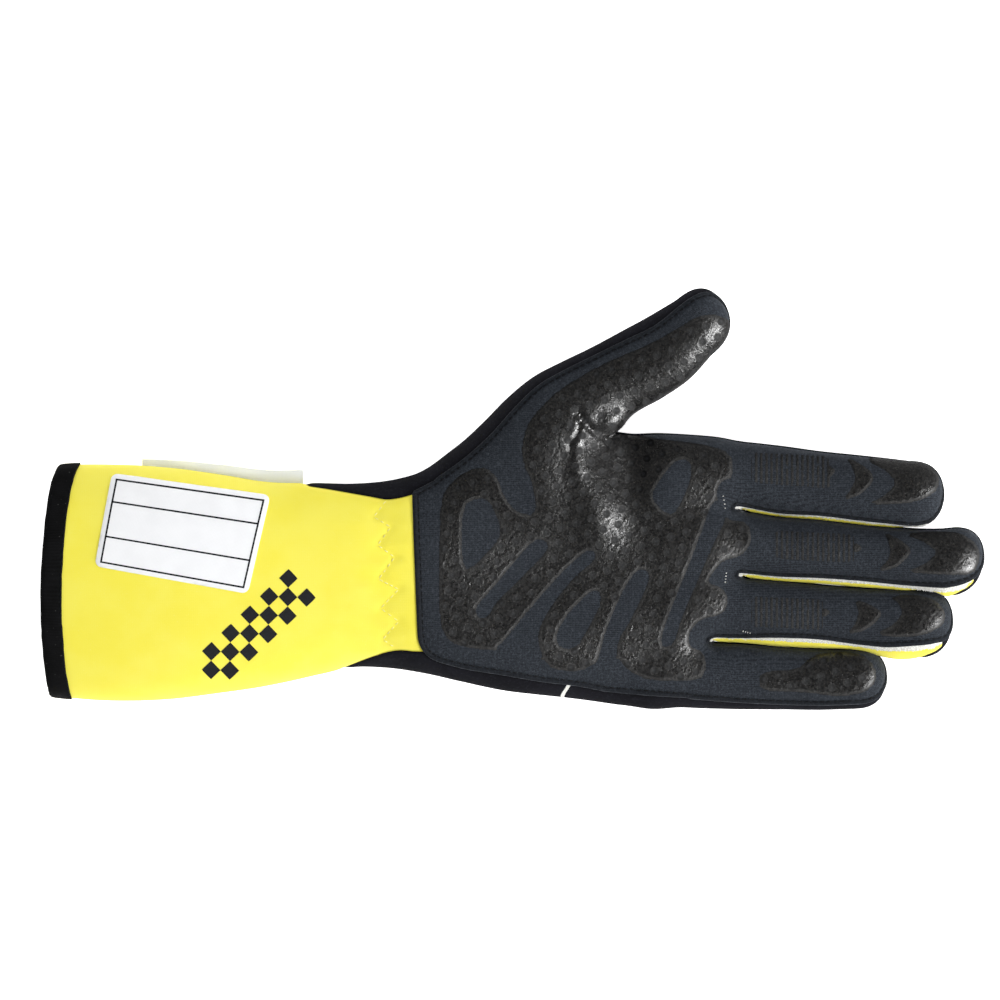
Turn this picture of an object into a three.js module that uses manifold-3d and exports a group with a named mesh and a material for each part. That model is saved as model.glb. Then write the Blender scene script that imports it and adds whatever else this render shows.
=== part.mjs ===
// A long racing glove for the left hand, lying on its back with the palm up.
// It is a hollow glove of soft walls, made of the panels that a real one is sewn from:
// a knitted palm with the finger fronts in one piece, a plain back that wraps round both borders,
// a fourchette in each gap between two fingers, a flared gauntlet gathered at the wrist,
// a bound hem round the opening, a patch on the gauntlet and a tag sewn into its side.
// Millimetres. +X runs from the opening to the fingertips, +Y points to the thumb, +Z is up.

import * as THREE from "three";
import Module from "manifold-3d";
import { mergeVertices } from "three/addons/utils/BufferGeometryUtils.js";

const wasm = await Module();
wasm.setup();

const WALL = 2; // outer cloth and lining together
const GAP = 0.3; // left open between neighbouring pieces
const FLOOR = 0; // what the back of the glove is flattened against
const SINK = 0.9; // how much of the round section the flat on the floor takes away
const SQUARENESS = 2.5; // exponent of the body's rounded sections, 2 is an ellipse
const DIGIT_SQUARENESS = 2.2;
const BODY_SIDES = { outer: 28, inner: 20 };
const DIGIT_SIDES = { outer: 14, inner: 10 };
const THUMB_SIDES = { outer: 16, inner: 12 };
const TIP_POWER = 2.2; // exponent of a fingertip's outline
const TIP_STEPS = [0, 0.4, 0.7, 0.88, 0.97]; // share of a fingertip's length at each of its sections
const OVER = 60; // a height above everything

const HEM_X = -159.6; // the opening's furthest edge
const HEM_WIDTH = 7.3;
const HEM_PROUD = 0.5; // how far the binding stands out of the gauntlet
const HEM_ROUND = { edge: 0.85, low: 0.1, more: 0.3 }; // the binding's rounded edges
const HEM_BORE_OVER = 3; // the binding's bore is cut this far past both its edges
// The hem's furthest point, how far its sides stand back, and the distances up the arm over which that grows.
const HEM_BOW = { y: -34, reach: 44, depth: 4.8, from: 105, to: 160 };
const HOLLOW_FROM_X = -158; // the gauntlet's hollow is cut from here, inside the hem
const WRIST_SEAM_X = -32.8; // where the palm meets the gauntlet
const BACK_SEAM_X = -66; // where the back meets the gauntlet, further up the arm
const KNUCKLE_X = 76; // end of the palm between the long fingers
const CROTCH_SLOPE = 0.5; // the palm ends earlier towards the little finger
const CROTCH_SLOPE_FROM_Y = -27;
const CROTCH_SLOPE_FROM_X = 25; // the slope grows from here to the knuckles

// The gauntlet, wrist and palm, along X: where each side is and how thick the glove is there.
const BODY = [
  { x: -160, thumbSide: 10.5, littleSide: -66.0, thick: 42.0 },
  { x: -150, thumbSide: 11.9, littleSide: -67.2, thick: 42.0 },
  { x: -133, thumbSide: 12.0, littleSide: -68.2, thick: 41.5 },
  { x: -116, thumbSide: 11.0, littleSide: -67.7, thick: 40.5 },
  { x: -99, thumbSide: 8.8, littleSide: -65.6, thick: 39.0 },
  { x: -82, thumbSide: 6.2, littleSide: -62.9, thick: 37.5 },
  { x: -65, thumbSide: 5.3, littleSide: -59.3, thick: 36.2 },
  { x: -53, thumbSide: 5.3, littleSide: -56.8, thick: 35.4 },
  { x: -43, thumbSide: 6.2, littleSide: -57.0, thick: 34.6 },
  { x: -31, thumbSide: 9.9, littleSide: -58.5, thick: 34.6 },
  { x: -17, thumbSide: 16.0, littleSide: -61.5, thick: 34.0 },
  { x: -4, thumbSide: 22.5, littleSide: -64.4, thick: 33.0 },
  { x: 10, thumbSide: 27.0, littleSide: -66.3, thick: 32.0 },
  { x: 24, thumbSide: 26.5, littleSide: -68.0, thick: 30.5 },
  { x: 37, thumbSide: 23.8, littleSide: -69.8, thick: 28.6 },
  { x: 50, thumbSide: 22.3, littleSide: -70.6, thick: 26.8 },
  { x: 64, thumbSide: 21.2, littleSide: -70.9, thick: 25.0 },
  { x: 76, thumbSide: 19.9, littleSide: -71.3, thick: 23.6 },
];

// The palm's outline seen from above, along X. Its upper edge there is the seam to the back,
// or lies past the side where the knit goes round it.
const PALM_SEAM = [
  { x: WRIST_SEAM_X, little: -52.2, thumb: 3.0 },
  { x: -25, little: -54.7, thumb: 7.0 },
  { x: -17, little: -56.9, thumb: 12.0 },
  { x: -4, little: -59.1, thumb: 19.0 },
  { x: 10, little: -61.5, thumb: 24.0 },
  { x: 24, little: -63.3, thumb: 24.0 },
  { x: 33, little: -65.0, thumb: 26.2 },
  { x: 37, little: -65.4, thumb: 25.0 },
  { x: 50, little: -66.5, thumb: 23.5 },
  { x: 64, little: -67.2, thumb: 22.4 },
  { x: 76.5, little: -67.9, thumb: 21.2, lean: 11 }, // leans back towards the little finger
];

// The gauntlet's outline seen from above, between the palm and where it goes all round.
const WRIST_SEAM = [
  { x: -70, little: -64, thumb: 9, low: 4 },
  { x: -64, little: -60.2, thumb: 4.7, low: 7 },
  { x: -56, little: -57.0, thumb: 2.9, low: 14 },
  { x: -48, little: -53.8, thumb: 1.3, low: 17 },
  { x: -42, little: -51.8, thumb: 0.5, low: 17 },
  { x: -38, little: -51.2, thumb: 1.0, low: 17 },
  { x: -33.1, little: -51.6, thumb: 2.8, low: 17 },
];

// How the palm closes between the fingers: distance back from its end, share of height, width taken off.
const PALM_END = [
  { back: 14, height: 0.99, narrower: 0.2 },
  { back: 8, height: 0.95, narrower: 0.5 },
  { back: 3, height: 0.86, narrower: 1.2 },
  { back: 0, height: 0.66, narrower: 3 },
];

// Dents and swellings of the palm's upper side: place, reach and height, downwards if negative.
const PALM_RELIEF = [
  { x: 12, y: -24, reachX: 34, reachY: 17, rise: -4.0 }, // the cupped middle of the palm
  { x: 2, y: -50, reachX: 30, reachY: 13, rise: 1.4 }, // the heel under the little finger
  { x: 23, y: 15, reachX: 7, reachY: 12, rise: 3.4 }, // the fold that runs from the thumb's crotch
  { x: 33, y: 0, reachX: 8, reachY: 11, rise: 3.2 }, // and goes on over the palm
  { x: 47, y: 9, reachX: 8, reachY: 13, rise: -3.6 }, // the dip beside it
];

// Elastic draws the wrist in: place of each ruck, its reach along X and its depth.
const GATHERS = [
  { x: -43.5, reach: 3.2, depth: 1.5 },
  { x: -52, reach: 4.5, depth: -0.5 },
  { x: -35.5, reach: 3, depth: -0.4 },
];
const PUCKER = { depth: 0.35, reach: 9 }; // each second point of the gathered wrist stands in by this depth

// The fingers along X: middle, half width, height of the middle over the floor and half thickness.
// Inset is how far the palm's seam lies in from the side that faces the little finger.
const FINGERS = {
  index: {
    tip: { x: 146.7, y: 1.7, length: 11.7 },
    rows: [
      { x: 41, y: 9.6, w: 9.4, z: 12.0, h: 8.6, inset: 1.2 },
      { x: 60, y: 9.6, w: 11.2, z: 12.8, h: 11.7, inset: 1.2 },
      { x: 78, y: 8.4, w: 11.3, z: 12.8, h: 11.2, inset: 1.2 },
      { x: 91, y: 6.6, w: 11.6, z: 13.2, h: 10.8, inset: 1.4 },
      { x: 105, y: 5.1, w: 11.2, z: 14.0, h: 10.5, inset: 1.9 },
      { x: 118, y: 3.7, w: 11.2, z: 15.0, h: 10.3, inset: 2.3 },
      { x: 135, y: 1.9, w: 10.9, z: 16.4, h: 10.0, inset: 3.0 },
    ],
  },
  middle: {
    tip: { x: 160.3, y: -20.9, length: 11.8 },
    rows: [
      { x: 44, y: -14.2, w: 10.4, z: 13.2, h: 10.8, inset: 1.2 },
      { x: 60, y: -14.4, w: 10.8, z: 13.0, h: 12.0, inset: 1.2 },
      { x: 78, y: -14.7, w: 10.9, z: 12.8, h: 11.4, inset: 1.2 },
      { x: 91, y: -16.3, w: 10.5, z: 13.2, h: 11.0, inset: 1.5 },
      { x: 105, y: -17.2, w: 10.4, z: 14.0, h: 10.7, inset: 2.0 },
      { x: 118, y: -18.7, w: 10.2, z: 15.0, h: 10.4, inset: 2.6 },
      { x: 132, y: -19.7, w: 10.0, z: 16.2, h: 10.2, inset: 3.1 },
      { x: 148.5, y: -21.0, w: 10.6, z: 17.8, h: 9.9, inset: 3.6 },
    ],
  },
  ring: {
    tip: { x: 149.6, y: -41.8, length: 12 },
    rows: [
      { x: 44, y: -36.3, w: 10.2, z: 12.8, h: 10.6, inset: 1.2 },
      { x: 60, y: -36.6, w: 10.7, z: 12.8, h: 11.7, inset: 1.2 },
      { x: 78, y: -37.2, w: 10.7, z: 12.6, h: 11.0, inset: 1.2 },
      { x: 91, y: -38.4, w: 10.7, z: 13.0, h: 10.7, inset: 1.5 },
      { x: 105, y: -39.4, w: 10.3, z: 13.8, h: 10.4, inset: 2.0 },
      { x: 118, y: -40.2, w: 10.2, z: 14.8, h: 10.2, inset: 2.8 },
      { x: 128, y: -41.6, w: 10.9, z: 15.8, h: 10.0, inset: 3.2 },
      { x: 137.6, y: -42.2, w: 11.2, z: 16.8, h: 9.8, inset: 3.5 },
    ],
  },
  little: {
    tip: { x: 127.3, y: -60.4, length: 10.8 },
    rows: [
      { x: 40, y: -58.6, w: 10.4, z: 12.6, h: 10.0, inset: 3.4 },
      { x: 56, y: -59.4, w: 11.0, z: 12.6, h: 11.0, inset: 3.4 },
      { x: 78, y: -60.1, w: 11.1, z: 12.4, h: 10.5, inset: 2.5 },
      { x: 91, y: -60.6, w: 10.7, z: 12.8, h: 10.2, inset: 2.0 },
      { x: 105, y: -61.0, w: 10.2, z: 13.6, h: 9.9, inset: 1.8 },
      { x: 116.5, y: -60.8, w: 9.7, z: 14.6, h: 9.5, inset: 1.8 },
    ],
  },
};
const KNIT_EDGE = -0.16; // the palm's knit goes round the other side to this height, share of h
const BACK_EDGE = -0.5; // height of the fourchettes' lower seam, share of h
const FOURCHETTE_BACK = 5; // a fourchette stops this far from the fingertip
const FOURCHETTE_INNER = 0.3; // its cutting region starts this share of the half width out from the middle
// How high it goes on the finger above the gap, on the one below and at the web, shares of h.
const FOURCHETTE_TOP = { upper: 0.95, lower: 0.2, web: 0.8 };
const WEB_BLOCK = { reach: 6, halfWidth: 4, overlap: 2 }; // the block that cuts out the web
const STATION_GAP = 3; // the last section before the end stands at least this far back
const REACH = 0.22; // a finger's cutting regions reach this far out of it, less than half way to the next

// The thumb along its own axis U, turned up from +X: its two sides, its middle's height, half its thickness.
const THUMB_AT = { x: 25.0, y: 34.85, turn: 33 };
const THUMB_TIP = { u: 56.8, middle: 1.6, length: 12.8 };
const THUMB_ROOT = 0.8; // how far the thumb's first section inside the palm is rounded off, as a tip is
const THUMB = [
  { u: -58, outer: 8.4, inner: -6.0, z: 16.5, h: 11.0, inset: 4.3 },
  { u: -45, outer: 9.8, inner: -15.0, z: 17.5, h: 14.0, inset: 5.4 },
  { u: -33, outer: 12.0, inner: -20.0, z: 18.2, h: 15.6, inset: 5.9 },
  { u: -22, outer: 14.4, inner: -20.5, z: 18.8, h: 16.0, inset: 5.3 },
  { u: -11, outer: 15.6, inner: -17.8, z: 19.4, h: 15.2, inset: 4.9 },
  { u: 0, outer: 14.6, inner: -14.8, z: 20.0, h: 13.6, inset: 4.3 },
  { u: 11, outer: 13.2, inner: -14.2, z: 21.0, h: 12.2, inset: 3.7 },
  { u: 22, outer: 12.2, inner: -14.2, z: 22.4, h: 11.5, inset: 3.8 },
  { u: 33, outer: 11.3, inner: -13.6, z: 23.9, h: 11.0, inset: 3.9 },
  { u: 44, outer: 11.0, inner: -10.8, z: 25.4, h: 10.2, inset: 2.6 },
];

const PATCH = {
  corners: [
    [-135.5, 9.0],
    [-82.6, 1.6],
    [-89.4, -31.8],
    [-141.2, -22.4],
  ],
  round: 2,
  thick: 0.6,
};
const ARM_END_X = -60; // a sheet laid on the gauntlet is cut from a layer that ends here
const ARM_MIDDLE_Z = 18; // and from its part over this height
const TAG = { fromX: -125.6, toX: -70.8, outFrom: 1.8, outTo: 4.3, thick: 0.9, under: 2.5 };

// Value of one column of a table at a place along another, on a smooth curve through the rows.
function track(table, along, column) {
  const at = table.map((row) => row[along]);
  const value = table.map((row) => row[column]);
  const slope = value.map((_, i) => {
    const before = Math.max(i - 1, 0);
    const after = Math.min(i + 1, at.length - 1);
    return (value[after] - value[before]) / (at[after] - at[before]);
  });
  return (place) => {
    const p = THREE.MathUtils.clamp(place, at[0], at[at.length - 1]);
    const i = THREE.MathUtils.clamp(at.findIndex((a) => a >= p) - 1, 0, at.length - 2);
    const span = at[i + 1] - at[i];
    const t = (p - at[i]) / span;
    const t2 = t * t;
    const t3 = t2 * t;
    return (
      value[i] * (2 * t3 - 3 * t2 + 1) +
      slope[i] * span * (t3 - 2 * t2 + t) +
      value[i + 1] * (3 * t2 - 2 * t3) +
      slope[i + 1] * span * (t3 - t2)
    );
  };
}

const tracks = (table, along, columns) =>
  Object.fromEntries(columns.map((column) => [column, track(table, along, column)]));

// One coordinate of a rounded outline: 2 gives a circle's cosine or sine, more is squarer.
const rounded = (part, power) => Math.sign(part) * Math.abs(part) ** (2 / power);

const bell = (distance, reach) => Math.exp(-((distance / reach) ** 2));

// A closed solid through rings of points that all have the same count.
function loft(rings) {
  const count = rings[0].length;
  const points = rings.flat();
  const middles = [rings[0], rings[rings.length - 1]].map((ring) =>
    ring.reduce((sum, p) => sum.add(p), new THREE.Vector3()).divideScalar(count),
  );
  points.push(...middles);
  const first = points.length - 2;
  const last = points.length - 1;
  const faces = [];
  for (let r = 0; r < rings.length - 1; r++)
    for (let k = 0; k < count; k++) {
      const next = (k + 1) % count;
      const [a, b] = [r * count + k, r * count + next];
      faces.push(a, b, a + count, b, b + count, a + count);
    }
  for (let k = 0; k < count; k++) {
    const next = (k + 1) % count;
    const end = (rings.length - 1) * count;
    faces.push(next, k, first, end + k, end + next, last);
  }
  return solid(points, faces);
}

// Points and faces as a solid, turned right side out.
function solid(points, faces) {
  const geometry = new THREE.BufferGeometry().setFromPoints(points);
  geometry.setIndex(faces);
  return fromGeometry(geometry);
}

function fromGeometry(source) {
  const geometry = source.clone();
  geometry.deleteAttribute("normal");
  geometry.deleteAttribute("uv");
  const merged = mergeVertices(geometry, 1e-4);
  const triVerts = new Uint32Array(merged.index.array);
  const vertProperties = merged.attributes.position.array;
  const [a, b, c] = [new THREE.Vector3(), new THREE.Vector3(), new THREE.Vector3()];
  let volume = 0;
  for (let i = 0; i < triVerts.length; i += 3) {
    a.fromArray(vertProperties, 3 * triVerts[i]);
    b.fromArray(vertProperties, 3 * triVerts[i + 1]);
    c.fromArray(vertProperties, 3 * triVerts[i + 2]);
    volume += a.dot(b.cross(c));
  }
  if (volume < 0)
    for (let i = 0; i < triVerts.length; i += 3)
      [triVerts[i + 1], triVerts[i + 2]] = [triVerts[i + 2], triVerts[i + 1]];
  return new wasm.Manifold(new wasm.Mesh({ numProp: 3, vertProperties, triVerts }));
}

const join = (...solids) => solids.reduce((all, one) => all.add(one));

// The largest of the pieces that a cut leaves, without its crumbs.
const largest = (cut) => cut.decompose().reduce((a, b) => (b.volume() > a.volume() ? b : a));

// A block between two corners.
function block(low, high) {
  const size = high.map((v, i) => v - low[i]);
  const box = new THREE.BoxGeometry(...size);
  box.translate(...high.map((v, i) => (v + low[i]) / 2));
  return fromGeometry(box);
}

const sidesOf = (sides, grow) => (grow < 0 ? sides.inner : sides.outer);

const body = tracks(BODY, "x", ["thumbSide", "littleSide", "thick"]);
const bodyMiddle = (x) => (body.thumbSide(x) + body.littleSide(x)) / 2;
const bodyHeight = (x) => body.thick(x) / 2 - SINK / 2;

const relief = (x, y) =>
  PALM_RELIEF.reduce((sum, r) => sum + r.rise * bell(x - r.x, r.reachX) * bell(y - r.y, r.reachY), 0);

const gather = (x) => GATHERS.reduce((sum, g) => sum + g.depth * bell(x - g.x, g.reach), 0);

// One section of the gauntlet, wrist or palm, grown outwards by a distance or shrunk if negative.
function bodyRing(x, grow, end = { height: 1, narrower: 0 }) {
  const halfWidth = (body.thumbSide(x) - body.littleSide(x)) / 2 + grow - end.narrower;
  const halfHeight = (body.thick(x) / 2 + SINK / 2) * end.height + grow;
  const [y0, z0] = [bodyMiddle(x), bodyHeight(x)];
  const hemShare = THREE.MathUtils.smoothstep(-x, HEM_BOW.from, HEM_BOW.to);
  const knuckleShare = THREE.MathUtils.smoothstep(x, CROTCH_SLOPE_FROM_X, KNUCKLE_X);
  const pucker = PUCKER.depth * bell(x - GATHERS[0].x, PUCKER.reach);
  const sides = sidesOf(BODY_SIDES, grow);
  return Array.from({ length: sides }, (_, k) => {
    const angle = (2 * Math.PI * k) / sides;
    const up = Math.sin(angle) > 0;
    const drawn = (up ? gather(x) : gather(x) / 3) + (up && k % 2 ? pucker : 0);
    const y = y0 + (halfWidth - drawn / 2) * rounded(Math.cos(angle), SQUARENESS);
    let z = z0 + (halfHeight - drawn) * rounded(Math.sin(angle), SQUARENESS);
    if (up) z += relief(x, y) * Math.sin(angle);
    const bow = HEM_BOW.depth * hemShare * ((y - HEM_BOW.y) / HEM_BOW.reach) ** 2;
    const crotch = CROTCH_SLOPE * knuckleShare * Math.max(0, CROTCH_SLOPE_FROM_Y - y);
    return new THREE.Vector3(x + bow - crotch, y, Math.max(z, FLOOR + Math.max(0, -grow)));
  });
}

const armStations = [-152, -133, -116, -99, -82, -65];
const wristStations = [-56, -50, -46, -43.5, -41, -37];
const palmStations = [WRIST_SEAM_X, -24, -12, 0, 12, 24, 36, 48, 58];
const bodyStations = [...armStations, ...wristStations, ...palmStations];

// The gauntlet, wrist and palm as one solid, or its hollow.
function bodySolid(grow) {
  const inside = grow < 0;
  const start = inside ? [bodyRing(HOLLOW_FROM_X, grow)] : [];
  const rings = bodyStations.map((x) => bodyRing(x, grow));
  const ends = PALM_END.map((end) => bodyRing(KNUCKLE_X - end.back, grow, end));
  const shifted = inside ? ends.map((ring) => ring.map((p) => p.clone().setX(p.x + grow))) : ends;
  return loft([...start, ...rings, ...shifted]);
}

// The section of a digit: a rounded outline in the plane across it.
function digitOutline(row, sides, grow) {
  return Array.from({ length: sides }, (_, k) => {
    const angle = (2 * Math.PI * k) / sides;
    return {
      side: row.y + (row.w + grow) * rounded(Math.cos(angle), DIGIT_SQUARENESS),
      up: row.z + (row.h + grow) * rounded(Math.sin(angle), DIGIT_SQUARENESS),
    };
  });
}

const fingerRow = (finger, x) => {
  const last = finger.rows[finger.rows.length - 1].x;
  const row = { x };
  for (const key of ["y", "w", "z", "h", "inset"]) row[key] = track(finger.rows, "x", key)(x);
  if (x > last) row.y = THREE.MathUtils.lerp(row.y, finger.tip.y, (x - last) / finger.tip.length);
  return row;
};

// A row of a round tip, at a share of the tip's length from where it starts.
function tipRow(row, share, grow) {
  const scale = (1 - share ** TIP_POWER) ** (1 / TIP_POWER);
  return { ...row, w: (row.w + grow) * scale, h: (row.h + grow) * scale };
}

function fingerSolid(finger, grow) {
  const sides = sidesOf(DIGIT_SIDES, grow);
  const start = finger.tip.x - finger.tip.length;
  const length = finger.tip.length + grow;
  const shaft = finger.rows
    .slice(0, -1)
    .map((row) => ({ x: row.x, outline: digitOutline(row, sides, grow) }));
  const tip = TIP_STEPS.map((share) => {
    const x = start + length * share;
    return { x, outline: digitOutline(tipRow(fingerRow(finger, x), share, grow), sides, 0) };
  });
  const ring = ({ x, outline }) => outline.map((p) => new THREE.Vector3(x, p.side, p.up));
  return loft([...shaft, ...tip].map(ring));
}

const thumbTracks = tracks(THUMB, "u", ["outer", "inner", "z", "h", "inset"]);

function thumbRow(u) {
  const [outer, inner] = [thumbTracks.outer(u), thumbTracks.inner(u)];
  const row = { y: (outer + inner) / 2, w: (outer - inner) / 2, z: thumbTracks.z(u), h: thumbTracks.h(u) };
  const start = THUMB_TIP.u - THUMB_TIP.length;
  if (u > start) row.y = THREE.MathUtils.lerp(row.y, THUMB_TIP.middle, (u - start) / THUMB_TIP.length);
  return { ...row, inset: thumbTracks.inset(u) };
}

// From the thumb's own axes to the glove's.
function thumbPoint(u, v, z) {
  const turn = THREE.MathUtils.degToRad(THUMB_AT.turn);
  return new THREE.Vector3(
    THUMB_AT.x + u * Math.cos(turn) - v * Math.sin(turn),
    THUMB_AT.y + u * Math.sin(turn) + v * Math.cos(turn),
    z,
  );
}

function thumbSolid(grow) {
  const sides = sidesOf(THUMB_SIDES, grow);
  const start = THUMB_TIP.u - THUMB_TIP.length;
  const length = THUMB_TIP.length + grow;
  const root = tipRow(thumbRow(THUMB[0].u), THUMB_ROOT, grow);
  const first = { u: THUMB[0].u, outline: digitOutline(root, sides, 0) };
  const shaft = THUMB.slice(1, -1).map(({ u }) => ({ u, outline: digitOutline(thumbRow(u), sides, grow) }));
  const tip = TIP_STEPS.map((share) => {
    const u = start + length * share;
    return { u, outline: digitOutline(tipRow(thumbRow(u), share, grow), sides, 0) };
  });
  const ring = ({ u, outline }) => outline.map((p) => thumbPoint(u, p.side, p.up));
  return loft([first, ...shaft, ...tip].map(ring));
}

const hand = Object.values(FINGERS);
const outside = join(bodySolid(0), thumbSolid(0), ...hand.map((f) => fingerSolid(f, 0)));
const hollow = join(bodySolid(-WALL), thumbSolid(-WALL), ...hand.map((f) => fingerSolid(f, -WALL)));
const shell = outside.subtract(hollow);

const glovePoint = (x, y, z) => new THREE.Vector3(x, y, z);

// A region for cutting the shell: from one side to another, over a height, along a line.
function region(rows, point = glovePoint) {
  return loft(
    rows.map(({ at, from, to, low, high = OVER, lean = 0 }) => [
      point(at - lean, from, low),
      point(at, to, low),
      point(at, to, high),
      point(at - lean, from, high),
    ]),
  );
}

// The places of a table's rows, with the first and the last moved outwards.
const ends = (rows, along, margin) =>
  rows.map((row, i) => row[along] + (i === rows.length - 1 ? margin : i ? 0 : -margin));

// Everything over the palm's seams. A positive margin makes it larger, for cutting its neighbours back.
function palmRegion(margin) {
  const grown = ends(PALM_SEAM, "x", margin);
  const slab = region(
    PALM_SEAM.map(({ x, little, thumb, lean }, i) => ({
      at: grown[i],
      from: little - margin,
      to: thumb + margin,
      low: bodyHeight(x) - 1 - margin,
      lean,
    })),
  );
  const fronts = hand.map((finger) => {
    const start = finger.rows[1].x;
    const stations = finger.rows.map((row) => row.x).filter((x) => x > start);
    return region(
      [start, ...stations, finger.tip.x + 1].map((x, i) => {
        const row = fingerRow(finger, x);
        const low = row.z + KNIT_EDGE * row.h - margin;
        const from = row.y - row.w + row.inset - margin;
        return { at: i ? x : x - margin, from, to: row.y + row.w + REACH, low };
      }),
    );
  });
  const thumb = region(
    [THUMB[0].u - margin, ...THUMB.slice(1).map(({ u }) => u), THUMB_TIP.u + 1].map((u) => {
      const row = thumbRow(u);
      const low = row.z + KNIT_EDGE * row.h - margin;
      return { at: u, from: row.y - row.w - REACH, to: row.y + row.w - row.inset + margin, low };
    }),
    thumbPoint,
  );
  return join(slab, thumb, ...fronts);
}

// The two facing sides of neighbouring fingers and the web that joins them.
function fourchetteRegion(finger, next, webX, margin) {
  const side = (one, sign, top) => {
    const end = one.tip.x - FOURCHETTE_BACK + margin;
    const stations = one.rows.map((row) => row.x).filter((x) => x > webX && x < end - STATION_GAP);
    return region(
      [webX - WEB_BLOCK.overlap, ...stations, end].map((x) => {
        const row = fingerRow(one, x);
        const sides = [row.y + sign * FOURCHETTE_INNER * row.w, row.y + sign * (row.w + REACH)];
        const low = row.z + BACK_EDGE * row.h - margin;
        return { at: x, from: Math.min(...sides), to: Math.max(...sides), low, high: row.z + top * row.h };
      }),
    );
  };
  const [a, b] = [fingerRow(finger, webX), fingerRow(next, webX)];
  const middle = (a.y - a.w + b.y + b.w) / 2;
  const web = block(
    [webX - WEB_BLOCK.reach, middle - WEB_BLOCK.halfWidth - margin, a.z + BACK_EDGE * a.h - margin],
    [webX + WEB_BLOCK.reach, middle + WEB_BLOCK.halfWidth + margin, a.z + FOURCHETTE_TOP.web * a.h],
  );
  return join(side(finger, -1, FOURCHETTE_TOP.upper), side(next, 1, FOURCHETTE_TOP.lower), web);
}

// The gauntlet: all round the forearm, and only the palm side of the wrist.
function gauntletRegion(margin) {
  const arm = block([-200, -120, -20], [BACK_SEAM_X + margin, 120, OVER]);
  const grown = ends(WRIST_SEAM, "x", margin);
  const wrist = region(
    WRIST_SEAM.map(({ little, thumb, low }, i) => ({
      at: grown[i],
      from: little - margin,
      to: thumb + margin,
      low: low - margin,
    })),
  );
  return join(arm, wrist);
}

const palmPlus = join(palmRegion(0), palmRegion(GAP));
const crotches = [
  { name: "index_middle", between: ["index", "middle"], x: 75 },
  { name: "middle_ring", between: ["middle", "ring"], x: 75.6 },
  { name: "ring_little", between: ["ring", "little"], x: 66 },
];
const fourchettes = crotches.map(({ name, between: [a, b], x }) => ({
  name: "fourchette_" + name,
  cut: (margin) => fourchetteRegion(FINGERS[a], FINGERS[b], x, margin),
}));

const palm = largest(shell.intersect(palmRegion(0)));
const gauntlet = largest(shell.intersect(gauntletRegion(0)));
const back = largest(
  fourchettes.reduce(
    (rest, f) => rest.subtract(f.cut(GAP)),
    shell.subtract(palmPlus).subtract(gauntletRegion(GAP)),
  ),
);

// The binding round the opening.
function hemSolid() {
  const end = HEM_X + HEM_WIDTH;
  const full = HEM_PROUD + HEM_ROUND.more;
  const stations = [HEM_X, HEM_X + HEM_ROUND.edge, end - HEM_ROUND.edge, end];
  const proud = [HEM_ROUND.low, full, full, HEM_ROUND.low];
  const outer = loft(stations.map((x, i) => bodyRing(x, proud[i])));
  const bore = [HEM_X - HEM_BORE_OVER, end + HEM_BORE_OVER];
  const inner = loft(bore.map((x) => bodyRing(x, -WALL - HEM_PROUD)));
  return outer.subtract(inner);
}

// A sheet that lies on the gauntlet, between two distances from it, inside an outline seen from above.
function onGauntlet(shape, from, thick) {
  const layer = (grow) => loft(bodyStations.filter((x) => x < ARM_END_X).map((x) => bodyRing(x, grow)));
  const prism = new THREE.ExtrudeGeometry(shape, { depth: OVER, bevelEnabled: false, curveSegments: 3 });
  prism.translate(0, 0, ARM_MIDDLE_Z);
  return layer(from + thick).subtract(layer(from)).intersect(fromGeometry(prism));
}

// A polygon with round corners.
function roundedShape(corners, radius) {
  const shape = new THREE.Shape();
  const points = corners.map(([x, y]) => new THREE.Vector2(x, y));
  points.forEach((p, i) => {
    const before = points[(i + points.length - 1) % points.length];
    const after = points[(i + 1) % points.length];
    const start = p.clone().add(before.clone().sub(p).setLength(radius));
    const end = p.clone().add(after.clone().sub(p).setLength(radius));
    if (i) shape.lineTo(start.x, start.y);
    else shape.moveTo(start.x, start.y);
    shape.quadraticCurveTo(p.x, p.y, end.x, end.y);
  });
  shape.closePath();
  return shape;
}

// The tag stands out of the gauntlet's thumb side, just under its widest line.
function tagSolid() {
  const stations = [TAG.fromX, -115, -104, -93, -82, TAG.toX];
  const out = (x) => THREE.MathUtils.mapLinear(x, TAG.fromX, TAG.toX, TAG.outFrom, TAG.outTo);
  const outline = [
    ...stations.map((x) => [x, body.thumbSide(x) + GAP]),
    ...stations.toReversed().map((x) => [x, body.thumbSide(x) + out(x)]),
  ];
  const shape = new THREE.Shape(outline.map(([x, y]) => new THREE.Vector2(x, y)));
  const plate = new THREE.ExtrudeGeometry(shape, { depth: TAG.thick, bevelEnabled: false });
  plate.translate(0, 0, bodyHeight(TAG.fromX) - TAG.under);
  return fromGeometry(plate);
}

const paint = (color, roughness) => new THREE.MeshStandardMaterial({ color, roughness, metalness: 0 });
const KNIT = paint(0x2f3338, 0.9);
const BLACK = paint(0x1c1d1f, 0.85);
const YELLOW = paint(0xf6f01e, 0.8);
const WHITE = paint(0xf2f2ee, 0.7);

const glove = new THREE.Group();

function place(name, piece, material) {
  const made = piece.getMesh();
  const geometry = new THREE.BufferGeometry();
  const positions = new Float32Array(made.numVert * 3);
  for (let i = 0; i < made.numVert; i++)
    positions.set(made.vertProperties.subarray(i * made.numProp, i * made.numProp + 3), i * 3);
  geometry.setAttribute("position", new THREE.BufferAttribute(positions, 3));
  geometry.setIndex(new THREE.BufferAttribute(made.triVerts, 1));
  geometry.computeVertexNormals();
  const mesh = new THREE.Mesh(geometry, material);
  mesh.name = name;
  glove.add(mesh);
}

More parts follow.
